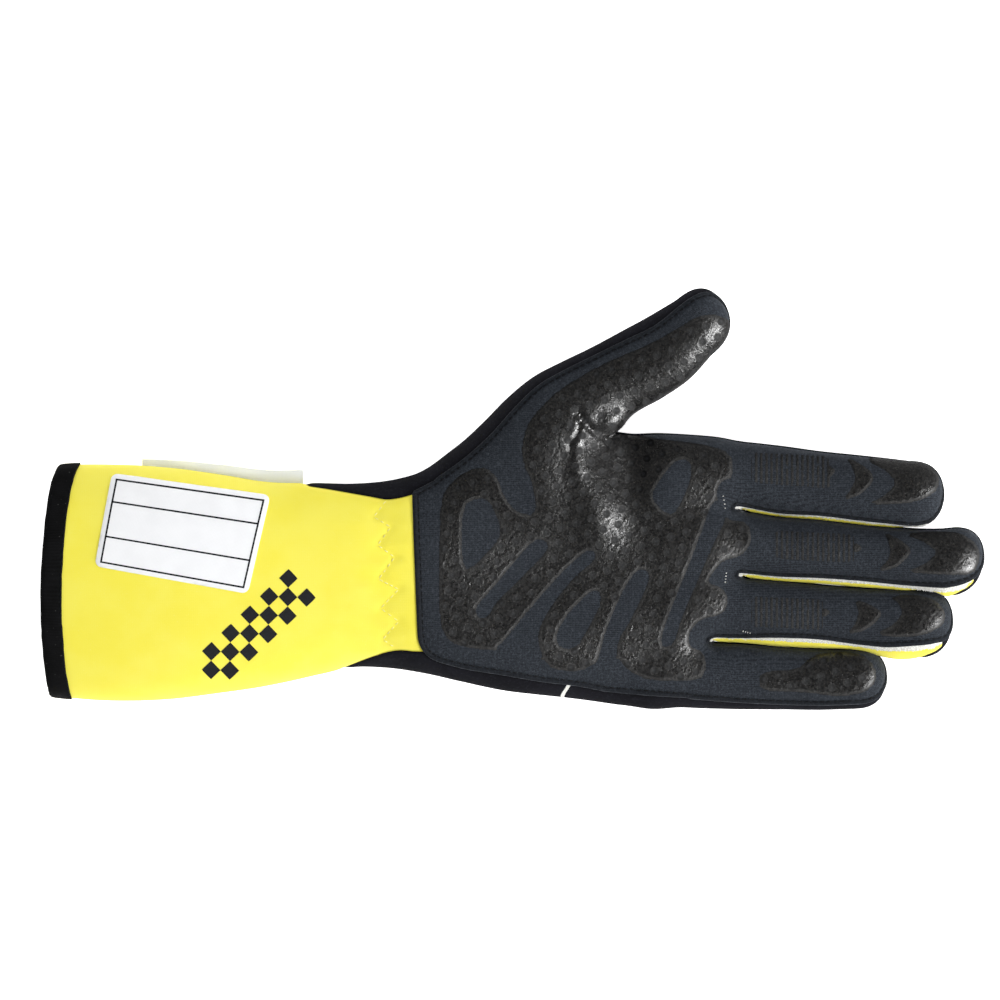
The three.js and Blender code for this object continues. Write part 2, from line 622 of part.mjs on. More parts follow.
place("palm_panel", palm, KNIT);
place("back_panel", back, BLACK);
for (const { name, cut } of fourchettes)
  place(name, largest(shell.intersect(cut(0)).subtract(palmPlus)), YELLOW);
place("gauntlet", gauntlet, YELLOW);
place("cuff_hem", hemSolid(), BLACK);
place("label_patch", onGauntlet(roundedShape(PATCH.corners, PATCH.round), GAP, PATCH.thick), WHITE);
place("side_tag", tagSolid(), WHITE);

export default glove;
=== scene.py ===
"""A racing glove for the left hand, lying on its back with the palm up.

The skin of the whole glove is one smooth surface, worked out from the sections of the body, the thumb
and the fingers. It is cut along the seams into the panels that a real glove is sewn from, and each panel
gets its thickness, its sunk edges and its stitches. Millimetres until the meshes are made, in the frame's
axes: +X runs to the fingertips, +Y to the thumb and +Z up, out of the palm.
"""

import math

import bpy
import numpy as np
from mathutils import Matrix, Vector
from mathutils.bvhtree import BVHTree
from mathutils.kdtree import KDTree


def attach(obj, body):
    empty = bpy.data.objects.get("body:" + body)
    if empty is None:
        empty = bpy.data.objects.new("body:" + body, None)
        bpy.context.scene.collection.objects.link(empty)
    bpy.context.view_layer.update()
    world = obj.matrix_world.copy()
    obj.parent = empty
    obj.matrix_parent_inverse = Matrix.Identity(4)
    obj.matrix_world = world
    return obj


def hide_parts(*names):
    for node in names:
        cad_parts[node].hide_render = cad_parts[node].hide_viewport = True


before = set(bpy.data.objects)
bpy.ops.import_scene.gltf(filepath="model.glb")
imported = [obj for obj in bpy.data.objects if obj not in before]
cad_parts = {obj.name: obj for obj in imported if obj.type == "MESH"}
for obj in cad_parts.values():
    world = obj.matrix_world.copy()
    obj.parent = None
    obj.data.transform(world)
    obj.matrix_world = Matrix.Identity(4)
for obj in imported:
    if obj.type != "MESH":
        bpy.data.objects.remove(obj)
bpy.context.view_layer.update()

MM = 0.001
rng = np.random.default_rng(7)

# Sections of the gauntlet, wrist and palm along X: its two sides and its thickness.
BODY = [
    (-168, 10.0, -65.5, 42.0),
    (-160, 10.8, -66.0, 42.0),
    (-150, 11.9, -67.2, 42.0),
    (-133, 12.0, -68.2, 41.5),
    (-116, 11.0, -67.7, 40.5),
    (-99, 8.8, -65.6, 39.0),
    (-82, 6.2, -62.9, 37.5),
    (-65, 5.9, -59.3, 36.2),
    (-53, 5.7, -56.8, 35.4),
    (-43, 6.5, -57.0, 34.6),
    (-31, 9.4, -58.5, 34.6),
    (-17, 15.5, -61.5, 34.0),
    (-4, 22.5, -64.4, 33.0),
    (10, 27.0, -66.3, 32.0),
    (24, 26.5, -68.0, 30.5),
    (37, 22.8, -69.8, 28.6),
    (50, 21.9, -70.6, 26.8),
    (64, 20.5, -70.9, 25.0),
    (76, 18.9, -71.3, 23.6),
]

# Sections of each finger along X: middle, half width, height of the middle and half thickness,
# then how far the palm's seam lies in from the side that faces the little finger.
FINGER_ROWS = {
    "index": [
        (41, 9.6, 9.4, 12.0, 8.6, 1.2),
        (60, 9.3, 10.8, 12.8, 11.7, 1.2),
        (78, 8.3, 11.2, 12.8, 11.2, 0.9),
        (91, 6.6, 11.6, 13.2, 10.8, 0.6),
        (105, 5.1, 11.2, 14.0, 10.5, 0.9),
        (118, 3.7, 11.2, 15.0, 10.3, 0.7),
        (135, 1.9, 11.0, 16.4, 10.0, 0.4),
    ],
    "middle": [
        (44, -14.2, 10.4, 13.2, 10.8, 1.2),
        (60, -14.4, 10.8, 13.0, 12.0, 1.2),
        (78, -14.7, 10.9, 12.8, 11.4, 1.0),
        (91, -16.3, 10.5, 13.2, 11.0, 1.0),
        (105, -17.2, 10.4, 14.0, 10.7, 1.3),
        (118, -18.7, 10.2, 15.0, 10.4, 1.7),
        (132, -19.9, 10.2, 16.2, 10.2, 1.5),
        (141, -20.8, 10.6, 17.1, 10.0, 2.1),
        (147, -21.6, 11.5, 17.7, 9.9, 3.4),
    ],
    "ring": [
        (44, -36.3, 10.2, 12.8, 10.6, 1.2),
        (60, -36.6, 10.7, 12.8, 11.7, 1.2),
        (78, -37.2, 10.7, 12.6, 11.0, 1.2),
        (91, -38.4, 10.7, 13.0, 10.7, 2.5),
        (105, -39.4, 10.3, 13.8, 10.4, 2.5),
        (118, -40.2, 10.2, 14.8, 10.2, 1.5),
        (128, -41.6, 11.3, 15.8, 10.0, 3.1),
        (137, -42.2, 11.6, 16.8, 9.8, 4.5),
    ],
    "little": [
        (40, -58.6, 10.4, 12.6, 10.0, 3.4),
        (56, -59.4, 11.0, 12.6, 11.0, 3.4),
        (78, -60.1, 11.1, 12.4, 10.5, 2.5),
        (91, -60.6, 10.7, 12.8, 10.2, 2.0),
        (105, -61.1, 10.3, 13.6, 9.9, 1.8),
        (116.5, -61.1, 10.0, 14.6, 9.5, 1.8),
    ],
}
# Where each fingertip ends, its middle there and the length of its round end.
FINGER_TIPS = {
    "index": (146.7, 1.7, 11.7),
    "middle": (160.3, -19.6, 13.3),
    "ring": (149.6, -41.4, 12.6),
    "little": (127.3, -60.6, 10.8),
}

# The thumb along its own axis: its outer and inner side, height of the middle, half thickness, seam inset.
THUMB_AT = (25.0, 34.85)
THUMB_TURN = math.radians(33)
THUMB_ROOT = -58
THUMB = [
    (-58, 8.4, -6.0, 16.5, 11.0, 4.1),
    (-45, 9.8, -15.0, 17.5, 14.0, 4.9),
    (-33, 12.0, -20.0, 18.2, 15.6, 5.1),
    (-22, 14.4, -20.5, 18.8, 16.0, 4.5),
    (-11, 15.6, -17.8, 19.4, 15.2, 3.7),
    (0, 14.6, -15.4, 20.0, 13.6, 3.3),
    (11, 13.2, -13.3, 21.0, 12.2, 3.2),
    (22, 12.2, -14.0, 22.4, 11.5, 3.5),
    (33, 11.3, -13.6, 23.9, 11.0, 3.9),
    (44, 11.0, -10.8, 25.4, 10.2, 2.6),
]
THUMB_TIP = (56.8, 1.6, 12.8)
THUMB_TIP_SHIFT = THUMB_TIP[1] - 0.1  # how far the round end's middle moves out, from the last section's

CREST = 0.45  # half of what the floor flattens off the round section
HEM_LIFT = 0.6  # the binding's thickness under the gauntlet
BODY_POWER = 2.5  # how square the body's sections are, where 2 is an ellipse
DIGIT_POWER = 2.25  # and those of the fingers and the thumb
FINGER_BLUNT = 1.25  # how blunt a fingertip is, where 1 is plainly round
THUMB_BLUNT = 1.15
FINGER_INSET_LOST = 0.7  # the share of the seam's inset that is lost at a fingertip
THUMB_INSET_LOST = 0.8
PALM_END_ROUND = 9.0
ROOT_IN = 12  # a digit's section starts to shrink so far past its first row, inside the body
ROOT_ROUND = 16  # and is gone over this length
# How gently the parts of the skin run into each other.
FINGER_JOIN = 5.0
THUMB_JOIN = 6.0
CROTCH_JOIN_LESS = 4.2
ROLL_JOIN = 1.6
FLOOR_ROUND = 1.6


def track(rows, column, samples=600):
    """A column of a table against its first, as a smooth curve through the rows, ready for np.interp."""
    rows = np.asarray(rows, float)
    at, value = rows[:, 0], rows[:, column]
    slope = np.gradient(value, at)
    x = np.linspace(at[0], at[-1], samples)
    i = np.clip(np.searchsorted(at, x) - 1, 0, len(at) - 2)
    span = at[i + 1] - at[i]
    t = (x - at[i]) / span
    y = (
        value[i] * (2 * t**3 - 3 * t**2 + 1)
        + slope[i] * span * (t**3 - 2 * t**2 + t)
        + value[i + 1] * (3 * t**2 - 2 * t**3)
        + slope[i + 1] * span * (t**3 - t**2)
    )
    return lambda p: np.interp(p, x, y)


def bell(distance, reach):
    """1 where the distance is 0, falling off over the reach."""
    return np.exp(-((distance / reach) ** 2))


def smooth(a, b, x):
    """From 0 at a to 1 at b without a corner."""
    t = np.clip((x - a) / (b - a), 0, 1)
    return t * t * (3 - 2 * t)


def tube(a, b, c, power):
    """Distance to a rounded section, to first order.

    a and b are each an offset from the middle and the half size that way, c is the share of an end's
    length that the point lies past its start.
    """
    (pa, sa), (pb, sb) = a, b
    qa, qb = np.abs(pa) / sa, np.abs(pb) / sb
    g = (qa**power + qb**power + c**power) ** (1 / power) + 1e-9
    slope = np.hypot((qa / g) ** (power - 1) / sa, (qb / g) ** (power - 1) / sb)
    return (g - 1) / np.maximum(slope, 0.35 / np.maximum(sa, sb))


def union(a, b, k):
    """The nearer of two distances, blended where they are closer together than k."""
    h = np.maximum(k - np.abs(a - b), 0) / k
    return np.minimum(a, b) - h * h * k / 4


def meet(a, b, k):
    """The farther of two distances, blended in the same way."""
    return -union(-a, -b, k)


def end_share(past, blunt):
    """The share of its half width that a digit keeps along its round end, where past goes from 0 to 1."""
    return (1 - past ** (blunt * DIGIT_POWER)) ** (1 / DIGIT_POWER)


# Across a fingertip the palm's seam rises from this share of the half width on, over this stretch of it,
# to this share of the half height, and it goes on rising over so many times the stretch.
TIP_RISE_FROM = 0.6
TIP_RISE_OVER = 1.2
TIP_RISE_HIGH = 0.78
TIP_RISE_MOST = 1.25


class Finger:
    """One finger's middle line and half sizes along X."""

    def __init__(self, name):
        rows = np.array(FINGER_ROWS[name], float)
        self.tip, self.tip_y, self.round = FINGER_TIPS[name]
        self.start = self.tip - self.round
        self.root = rows[0, 0]
        self.y0, self.w, self.z, self.h, self.inset = (track(rows, i) for i in range(1, 6))
        self.last_y = rows[-1, 1]

    def past(self, x):
        """The share of the round end's length that x lies past its start."""
        return np.clip((x - self.start) / self.round, 0, 1)

    def y(self, x):
        return self.y0(x) + self.past(x) * (self.tip_y - self.last_y)

    def half(self, x):
        """Half the width, with the round end."""
        return self.w(x) * end_share(self.past(x), FINGER_BLUNT)

    def seam(self, x):
        """Where the palm's seam lies beside the side that faces the little finger."""
        inset = self.inset(x) * (1 - FINGER_INSET_LOST * self.past(x) ** 3)
        return self.y(x) - self.half(x) + inset

    def tip_rise(self, x, y):
        """How far the palm's seam rises over its low side on a fingertip, a share of the half height."""
        across = (y - self.y(x)) / self.w(x)
        return TIP_RISE_HIGH * np.clip((TIP_RISE_FROM - across) / TIP_RISE_OVER, 0, TIP_RISE_MOST) ** 2

    def distance(self, p):
        x, y, z = p
        over = (np.maximum(x - self.start, 0) / self.round) ** FINGER_BLUNT
        before = np.maximum(self.root + ROOT_IN - x, 0) / ROOT_ROUND
        return tube((y - self.y(x), self.w(x)), (z - self.z(x), self.h(x)), over + before, DIGIT_POWER)


FINGERS = {name: Finger(name) for name in FINGER_ROWS}
side_up, side_low, thick = (track(BODY, i) for i in (1, 2, 3))
thumb_out, thumb_in, thumb_z, thumb_h, thumb_inset = (track(THUMB, i) for i in range(1, 6))


def body_middle(x):
    return (side_up(x) + side_low(x)) / 2


def thumb_axes(x, y):
    """A point seen from above in the thumb's own axes: along it, and out to its side."""
    dx, dy = x - THUMB_AT[0], y - THUMB_AT[1]
    c, s = math.cos(THUMB_TURN), math.sin(THUMB_TURN)
    return dx * c + dy * s, -dx * s + dy * c


def thumb_distance(p):
    x, y, z = p
    u, v = thumb_axes(x, y)
    tip, _, length = THUMB_TIP
    over = (np.maximum(u - (tip - length), 0) / length) ** THUMB_BLUNT
    before = np.maximum(THUMB_ROOT + ROOT_IN - u, 0) / ROOT_ROUND
    middle = (thumb_out(u) + thumb_in(u)) / 2 + np.clip(over, 0, 1) * THUMB_TIP_SHIFT
    half = (thumb_out(u) - thumb_in(u)) / 2
    return tube((v - middle, half), (z - thumb_z(u), thumb_h(u)), over + before, DIGIT_POWER)


# The palm ends here between the long fingers, earlier towards the little finger.
KNUCKLE_X = 76
CROTCH_SLOPE = 0.5
CROTCH_FROM_Y = -27


def palm_end(y):
    return KNUCKLE_X - CROTCH_SLOPE * np.maximum(CROTCH_FROM_Y - y, 0)


def body_distance(p):
    x, y, z = p
    w = (side_up(x) - side_low(x)) / 2
    h = thick(x) / 2 + CREST
    d = tube((y - body_middle(x), w), (z - (thick(x) / 2 - CREST), h), 0, BODY_POWER)
    end = (x - palm_end(y)) / np.hypot(1, CROTCH_SLOPE * (y < CROTCH_FROM_Y))
    return meet(d, end, PALM_END_ROUND)


# The palm side's swellings and hollows: height, place and reach along X, place and reach along Y, and how
# far the first place moves with Y.
SWELLS = [
    (-4.0, 12, 34, -24, 17, 0),
    (1.4, 2, 30, -50, 13, 0),
    (3.0, 13, 11, 8, 13, 0),
    (2.6, 22.5, 5.5, 16, 13, 0.2),
    (2.8, 30, 8, -4, 13, 0),
    (-3.6, 40.5, 6.5, 10, 12, 0),
    (1.4, 55, 8, 10, 12, 0),
]


def body_swell(x, y):
    total = 0
    for high, at_x, reach_x, at_y, reach_y, slant in SWELLS:
        total = total + high * bell(x - at_x + slant * (y - at_y), reach_x) * bell(y - at_y, reach_y)
    return total


ROLL_AT = (32.6, 27.6, 23.0)
ROLL_SIZE = (7.0, 5.0, 8.6)


def thumb_roll(p):
    """The cloth gathered into a round roll where the thumb meets the palm."""
    u, v = thumb_axes(p[0], p[1])
    at_u, at_v = thumb_axes(*ROLL_AT[:2])
    a, b, c = ROLL_SIZE
    away = np.sqrt(((u - at_u) / a) ** 2 + ((v - at_v) / b) ** 2 + ((p[2] - ROLL_AT[2]) / c) ** 2)
    return (away - 1) * b


def skin(p):
    """Distance to the glove's outer skin, negative inside."""
    x, y, z = p
    upper = smooth(8, 24, z)
    body = body_distance(p) - body_swell(x, y) * upper
    fingers = np.minimum.reduce([f.distance(p) for f in FINGERS.values()])
    d = union(body, fingers, FINGER_JOIN)
    near_crotch = bell(x - 33, 12) * bell(y - 24, 10)
    d = union(d, thumb_distance(p), THUMB_JOIN - CROTCH_JOIN_LESS * near_crotch)
    d = union(d, thumb_roll(p), ROLL_JOIN)
    rest = HEM_LIFT * smooth(-146, -153, x)
    return meet(d, rest - z, FLOOR_ROUND)


# The skin is meshed in a space where the fingers stand further apart, so that the narrow gaps stay open.
SPREAD = 2.4
GAP_BETWEEN = [("index", "middle"), ("middle", "ring"), ("ring", "little")]
CELL = 1.0


def unspread(x, y):
    """From the wide space back to the glove's own Y."""
    share = smooth(56, 72, x)
    out = y.copy()
    for i, (a, b) in enumerate(GAP_BETWEEN):
        one, two = FINGERS[a], FINGERS[b]
        middle = (one.y(x) - one.half(x) + two.y(x) + two.half(x)) / 2
        at = middle - (i + 0.5) * SPREAD * share
        half = SPREAD / 2 + 0.55
        out += SPREAD * share * (1 - smooth(at - half, at + half, y))
    return out


def surface_nets(values, origin, cell):
    """Vertices and quads of the zero surface of a grid of values, negative inside."""
    inside = values < 0
    size = values.shape
    corner = [(i, j, k) for i in (0, 1) for j in (0, 1) for k in (0, 1)]
    cells = tuple(n - 1 for n in size)

    def shifted(grid, c):
        return grid[tuple(slice(c[a], c[a] + cells[a]) for a in range(3))]

    count = sum(shifted(inside, c).astype(np.int8) for c in corner)
    active = (count > 0) & (count < 8)
    index = np.full(cells, -1)
    index[active] = np.arange(active.sum())
    at = np.argwhere(active)
    total = np.zeros((len(at), 3))
    number = np.zeros(len(at))
    for a in range(3):
        for c in corner:
            if c[a]:
                continue
            d = list(c)
            d[a] = 1
            va = values[tuple((at + c).T)]
            vb = values[tuple((at + d).T)]
            crosses = (va < 0) != (vb < 0)
            t = np.where(crosses, va / np.where(crosses, va - vb, 1), 0)
            point = at + np.array(c, float)
            point[:, a] += t
            total[crosses] += point[crosses]
            number[crosses] += 1
    vertices = total / number[:, None] * cell + origin
    quads = []
    for a in range(3):
        b, c = (a + 1) % 3, (a + 2) % 3
        low = [slice(None)] * 3
        high = [slice(None)] * 3
        low[a], high[a] = slice(0, size[a] - 1), slice(1, size[a])
        first, second = inside[tuple(low)], inside[tuple(high)]
        edge = np.argwhere(first != second)
        edge = edge[(edge[:, b] > 0) & (edge[:, c] > 0) & (edge[:, b] < cells[b]) & (edge[:, c] < cells[c])]
        flip = first[tuple(edge.T)]
        ring = []
        for db, dc in ((1, 1), (0, 1), (0, 0), (1, 0)):
            e = edge.copy()
            e[:, b] -= db
            e[:, c] -= dc
            ring.append(index[tuple(e.T)])
        ring = np.stack(ring, 1)
        ring[~flip] = ring[~flip][:, ::-1]
        quads.append(ring)
    return vertices, np.concatenate(quads)


def gradient(field, points, step=0.08):
    out = np.empty_like(points)
    for a in range(3):
        d = np.zeros(3)
        d[a] = step
        out[:, a] = (field((points + d).T) - field((points - d).T)) / (2 * step)
    return out


def settle(field, points, times=3, most=0.5):
    """Moves points along the field's gradient onto its zero surface."""
    for _ in range(times):
        g = gradient(field, points)
        value = field(points.T)
        move = -value / np.maximum((g * g).sum(1), 0.3)
        far = np.abs(move) * np.sqrt((g * g).sum(1))
        move *= np.minimum(1, most / np.maximum(far, 1e-9))
        points = points + move[:, None] * g
    return points


def triangles(quads):
    return np.concatenate([quads[:, [0, 1, 2]], quads[:, [0, 2, 3]]])


def grid_quads(n, m, closed_n=False, closed_m=False):
    """The quads of a grid of n rows of m points, which may close round in either direction."""
    rows, columns = (n if closed_n else n - 1), (m if closed_m else m - 1)
    i, j = np.meshgrid(np.arange(rows), np.arange(columns), indexing="ij")
    after_i, after_j = (i + 1) % n, (j + 1) % m
    ring = [i * m + j, i * m + after_j, after_i * m + after_j, after_i * m + j]
    return np.stack(ring, -1).reshape(-1, 4)


def split(vertices, faces, value):
    """Cuts a triangle mesh where value is 0, into its vertices and the faces of both halves."""
    value = np.where(np.abs(value) < 1e-5, 1e-5, value)
    sign = value[faces] > 0
    count = sign.sum(1)
    below, above = [faces[count == 0]], [faces[count == 3]]
    mixed = np.flatnonzero((count == 1) | (count == 2))
    tri, s = faces[mixed], sign[mixed]
    odd = np.where(s.sum(1) == 1, s.argmax(1), (~s).argmax(1))
    rows = np.arange(len(tri))
    a, b, c = tri[rows, odd], tri[rows, (odd + 1) % 3], tri[rows, (odd + 2) % 3]
    pairs = np.sort(np.concatenate([np.stack([a, b], 1), np.stack([a, c], 1)]), 1)
    unique, inverse = np.unique(pairs, axis=0, return_inverse=True)
    inverse = inverse.reshape(-1)
    p, q = unique[:, 0], unique[:, 1]
    t = (value[p] / (value[p] - value[q]))[:, None]
    cut = vertices[p] * (1 - t) + vertices[q] * t
    ab = len(vertices) + inverse[: len(tri)]
    ac = len(vertices) + inverse[len(tri) :]
    corner = np.stack([a, ab, ac], 1)
    rest = np.concatenate([np.stack([ab, b, c], 1), np.stack([ab, c, ac], 1)])
    lone = s[rows, odd]
    twice = np.concatenate([lone, lone])
    above += [corner[lone], rest[~twice]]
    below += [corner[~lone], rest[twice]]
    return np.concatenate([vertices, cut]), np.concatenate(below), np.concatenate(above)


def compact(vertices, faces):
    used, inverse = np.unique(faces, return_inverse=True)
    return vertices[used], inverse.reshape(faces.shape)


def boundary(faces):
    """Directed edges that only one face has."""
    directed = np.concatenate([faces[:, [0, 1]], faces[:, [1, 2]], faces[:, [2, 0]]])
    key = np.sort(directed, 1)
    _, inverse, count = np.unique(key, axis=0, return_inverse=True, return_counts=True)
    return directed[count[inverse.reshape(-1)] == 1]


def build_skin():
    low = np.array([-166.0, -82.0 - 3 * SPREAD, -2.0])
    high = np.array([164.0, 76.0, 47.0])
    size = np.ceil((high - low) / CELL).astype(int) + 1
    axes = [low[a] + CELL * np.arange(size[a]) for a in range(3)]
    x, y, z = np.meshgrid(*axes, indexing="ij")
    values = skin((x, unspread(x, y), z))
    vertices, quads = surface_nets(values, low, CELL)
    vertices[:, 1] = unspread(vertices[:, 0], vertices[:, 1])
    return settle(skin, vertices), triangles(quads)


def unit(v):
    return v / np.maximum(np.linalg.norm(v, axis=1, keepdims=True), 1e-9)


def noise(p, size, seed):
    """Smooth random values from about -1 to 1, one bump for each size of space."""
    grid = np.random.default_rng(seed).uniform(-1, 1, (32, 32, 32))
    q = np.asarray(p, float) / size + 500
    i = np.floor(q).astype(int)
    t = q - i
    t = t * t * (3 - 2 * t)
    total = 0
    for a in (0, 1):
        for b in (0, 1):
            for c in (0, 1):
                share = abs(1 - a - t[:, 0]) * abs(1 - b - t[:, 1]) * abs(1 - c - t[:, 2])
                total = total + share * grid[(i[:, 0] + a) % 32, (i[:, 1] + b) % 32, (i[:, 2] + c) % 32]
    return total


# The photograph's scale and the pixel that lies over the middle of the part. Only flat outlines use it.
PIXEL = 0.34
MIDDLE_PIXEL = (511.5, 500)


def plan(points):
    """Places in the photograph as millimetres seen from above."""
    p = np.asarray(points, float)
    return np.stack([(p[:, 0] - MIDDLE_PIXEL[0]) * PIXEL, (MIDDLE_PIXEL[1] - p[:, 1]) * PIXEL], 1)


def inside_of(points, x, y):
    """Distance to a closed outline seen from above, negative inside."""
    best = near_line(np.concatenate([points, points[:1]]), x, y)
    crossings = np.zeros(x.shape, int)
    for (ax, ay), (bx, by) in zip(points, np.roll(points, -1, 0)):
        ex, ey = bx - ax, by - ay
        over = (ay > y) != (by > y)
        at = ax + ex * (y - ay) / (ey if abs(ey) > 1e-9 else 1e-9)
        crossings += over & (x < at)
    return np.where(crossings % 2 == 1, -best, best)


def near_line(points, x, y):
    """Distance to an open line seen from above."""
    best = np.full(x.shape, 1e9)
    for (ax, ay), (bx, by) in zip(points[:-1], points[1:]):
        ex, ey = bx - ax, by - ay
        t = np.clip(((x - ax) * ex + (y - ay) * ey) / (ex * ex + ey * ey), 0, 1)
        best = np.minimum(best, np.hypot(x - ax - ex * t, y - ay - ey * t))
    return best


# The palm's outline seen from above: its border towards the little finger and towards the thumb.
PALM_SEAM = [
    (-32.8, -52.2, 3.0),
    (-25, -54.7, 7.0),
    (-17, -56.9, 12.0),
    (-4, -59.1, 19.0),
    (10, -61.5, 24.0),
    (24, -63.3, 24.0),
    (33, -65.0, 26.2),
    (37, -65.4, 25.0),
    (50, -66.5, 23.5),
    (64, -67.2, 22.4),
    (76.5, -67.9, 21.2),
]
# Where the palm ends towards the gaps between the fingers, as (Y, X).
PALM_ENDS = [(-60, 66), (-48, 67), (-38, 72), (-27, 77), (-14, 77), (-3, 75.5), (21, 76.5)]
# The gauntlet's outline at the wrist: both borders and how low it goes.
WRIST_SEAM = [
    (-74, -64, 5.8, 7),
    (-68, -62, 4.9, 9),
    (-64, -60.2, 4.3, 12),
    (-56, -57.0, 2.9, 15),
    (-48, -53.8, 1.4, 17),
    (-42, -51.8, 0.4, 17),
    (-38, -51.2, 0.9, 17),
    (-33.1, -51.6, 2.2, 17),
]
BACK_SEAM_X = -66
WRIST_HALF_UP = 18.5  # on the thumb side the gauntlet's palm side stops at half the wrist's height
WRIST_X = -33.4
WRIST_LEAN = -0.038
KNIT_EDGE = -0.16  # how low the knit goes round a finger's thumb side, a share of its half thickness
TIP_TURN = 8.0  # how gently the seam turns down round a fingertip
TIP_STRETCH = (0.55, 0.92)  # the shares of the round end between which it comes to follow tip_rise
PALM_CORNER = 7  # how round the palm's corner at the wrist is
PALM_UNDER = 1  # the palm goes down to so far under the middle of the body's sections
THUMB_WRAP = 3.5  # how far the thumb's front goes past its inner side
FINGER_ROOT = 60  # where the fingers' fronts start, along X
BACK_EDGE = -0.5  # and the strips between the fingers end here
TIP_EDGE = 0.38  # or here beside a fingertip, where the back comes up to be seen
# The strips between the fingers: the fingers on both sides and where the strip starts.
WEBS = {
    "index_middle": ("index", "middle", 75),
    "middle_ring": ("middle", "ring", 75.6),
    "ring_little": ("ring", "little", 66),
}
HEM_X = -159.6
HEM_MIDDLE_Y = -34
HEM_HALF = 44
HEM_BOW = 4.8  # how far the hem's line bends, less on the thumb side, and a little more at its corners
HEM_BOW_LESS = 1.2
HEM_CORNER = 1.2

palm_little, palm_thumb = (track(PALM_SEAM, i) for i in (1, 2))
wrist_little, wrist_thumb, wrist_low = (track(WRIST_SEAM, i) for i in (1, 2, 3))


def most(*fields):
    return np.maximum.reduce(fields)


def palm_field(p):
    x, y, z = p
    corner = meet(palm_little(x) - y, WRIST_X + WRIST_LEAN * y - x, PALM_CORNER)
    end = np.interp(y, *zip(*PALM_ENDS))
    field = most(corner, y - palm_thumb(x), thick(x) / 2 - CREST - PALM_UNDER - z, x - end)
    u, v = thumb_axes(x, y)
    past = np.clip((u - THUMB_TIP[0] + THUMB_TIP[2]) / THUMB_TIP[2], 0, 1)
    half = (thumb_out(u) - thumb_in(u)) / 2
    turn = past**THUMB_BLUNT * THUMB_TIP_SHIFT
    inset = thumb_inset(u) * (1 - THUMB_INSET_LOST * past**3)
    seam = thumb_out(u) + half * (end_share(past, THUMB_BLUNT) - 1) + turn - inset
    low = thumb_z(u) + KNIT_EDGE * thumb_h(u)
    front = most(THUMB_ROOT - u, thumb_in(u) - THUMB_WRAP - v, meet(v - seam, low - z, TIP_TURN))
    field = np.minimum(field, front)
    names = list(FINGERS)
    for i, name in enumerate(names):
        f = FINGERS[name]
        seam = f.seam(x)
        other = FINGERS[names[i - 1]]
        top = (f.y(x) + f.half(x) + other.y(x) - other.half(x)) / 2 if i else f.y(x) + f.w(x) + 3
        low = f.z(x) + KNIT_EDGE * f.h(x)
        edge = meet(seam - y, low - z, TIP_TURN)
        rise = low + f.h(x) * f.tip_rise(x, y) - z - edge
        edge += np.minimum(rise, 0) * smooth(*TIP_STRETCH, (x - f.start) / f.round)
        field = np.minimum(field, most(FINGER_ROOT - x, edge, y - top))
    return field


def gauntlet_field(p):
    x, y, z = p
    low = wrist_low(x) + (WRIST_HALF_UP - wrist_low(x)) * smooth(-35, -10, y)
    wrist = most(wrist_little(x) - y, y - wrist_thumb(x), low - z, -76 - x, x - WRIST_X - 5)
    return union(x - BACK_SEAM_X + 4.4 * smooth(-10, 4, y), wrist, 2.5)


def strip_field(p, web):
    """The strip between two fingers, over the back's edge and between the fingers' middles."""
    x, y, z = p
    a, b, start = FINGERS[web[0]], FINGERS[web[1]], web[2]
    middle = (a.y(x) - a.half(x) + b.y(x) + b.half(x)) / 2
    share = smooth(-1, 1, y - middle)

    def of(one, other):
        return one * share + other * (1 - share)

    tip = of(a.tip, b.tip)
    edge = BACK_EDGE + (TIP_EDGE - BACK_EDGE) * smooth(tip - 17, tip - 7, x)
    low = of(a.z(x), b.z(x)) + edge * of(a.h(x), b.h(x))
    return most(start - 6 - x, low - z, x - tip + 3, y - a.y(x), b.y(x) - y)


def hem_line(y):
    """Where the gauntlet's opening lies along X."""
    t = np.clip((y - HEM_MIDDLE_Y) / HEM_HALF, -1.06, 1.06)
    bow = HEM_BOW - HEM_BOW_LESS * smooth(HEM_MIDDLE_Y, 10, y)
    return HEM_X + bow * t**2 + HEM_CORNER * t**8


# Elastic gathers the wrist along a zigzag of stitches. These lines are places in the photograph.
ZIGZAG_PIXELS = [
    (387, 500), (374, 517), (391, 527), (378, 545), (395, 557), (379, 579), (399, 589), (381, 608),
    (399, 621), (383, 639), (395, 647),
]
ZIGZAG = plan(ZIGZAG_PIXELS)
CROTCH_CREASE = plan([(579, 414), (583, 421), (589, 428), (597, 434), (606, 436), (617, 432)])
THUMB_RIDGE = plan([(583, 428), (577, 444), (578, 470)])
RIDGE_CRACK = plan([(580, 423), (576, 436), (569, 444), (571, 453)])


def folds(p, normals):
    """How far the cloth stands out of the plain skin or in from it."""
    x, y, z = p.T
    up = smooth(0.2, 0.75, normals[:, 2])
    rough = smooth(-152, -140, x)
    lift = rough * 0.18 * noise(p, 21, seed=11) * smooth(0.5, 6, z)
    lift += rough * 0.05 * noise(p, 8, seed=12) * smooth(0.5, 6, z)
    wrist = bell(x + 42, 15)
    lift += up * wrist * 0.17 * np.sin(y * 0.8 + 3.0 * noise(p, 14, seed=13))
    lift -= up * 0.3 * bell(near_line(ZIGZAG, x, y), 1.2)
    for a, b in ZIGZAG[1:-1]:
        lift -= up * 0.28 * bell(np.hypot(x - a, y - b), 2.6)
    lift -= smooth(-0.1, 0.4, normals[:, 2]) * 1.6 * bell(near_line(CROTCH_CREASE, x, y), 1.3)
    lift += up * 0.9 * bell(near_line(THUMB_RIDGE, x, y), 2.6)
    lift -= up * 0.8 * bell(near_line(RIDGE_CRACK, x, y), 0.8)
    return lift


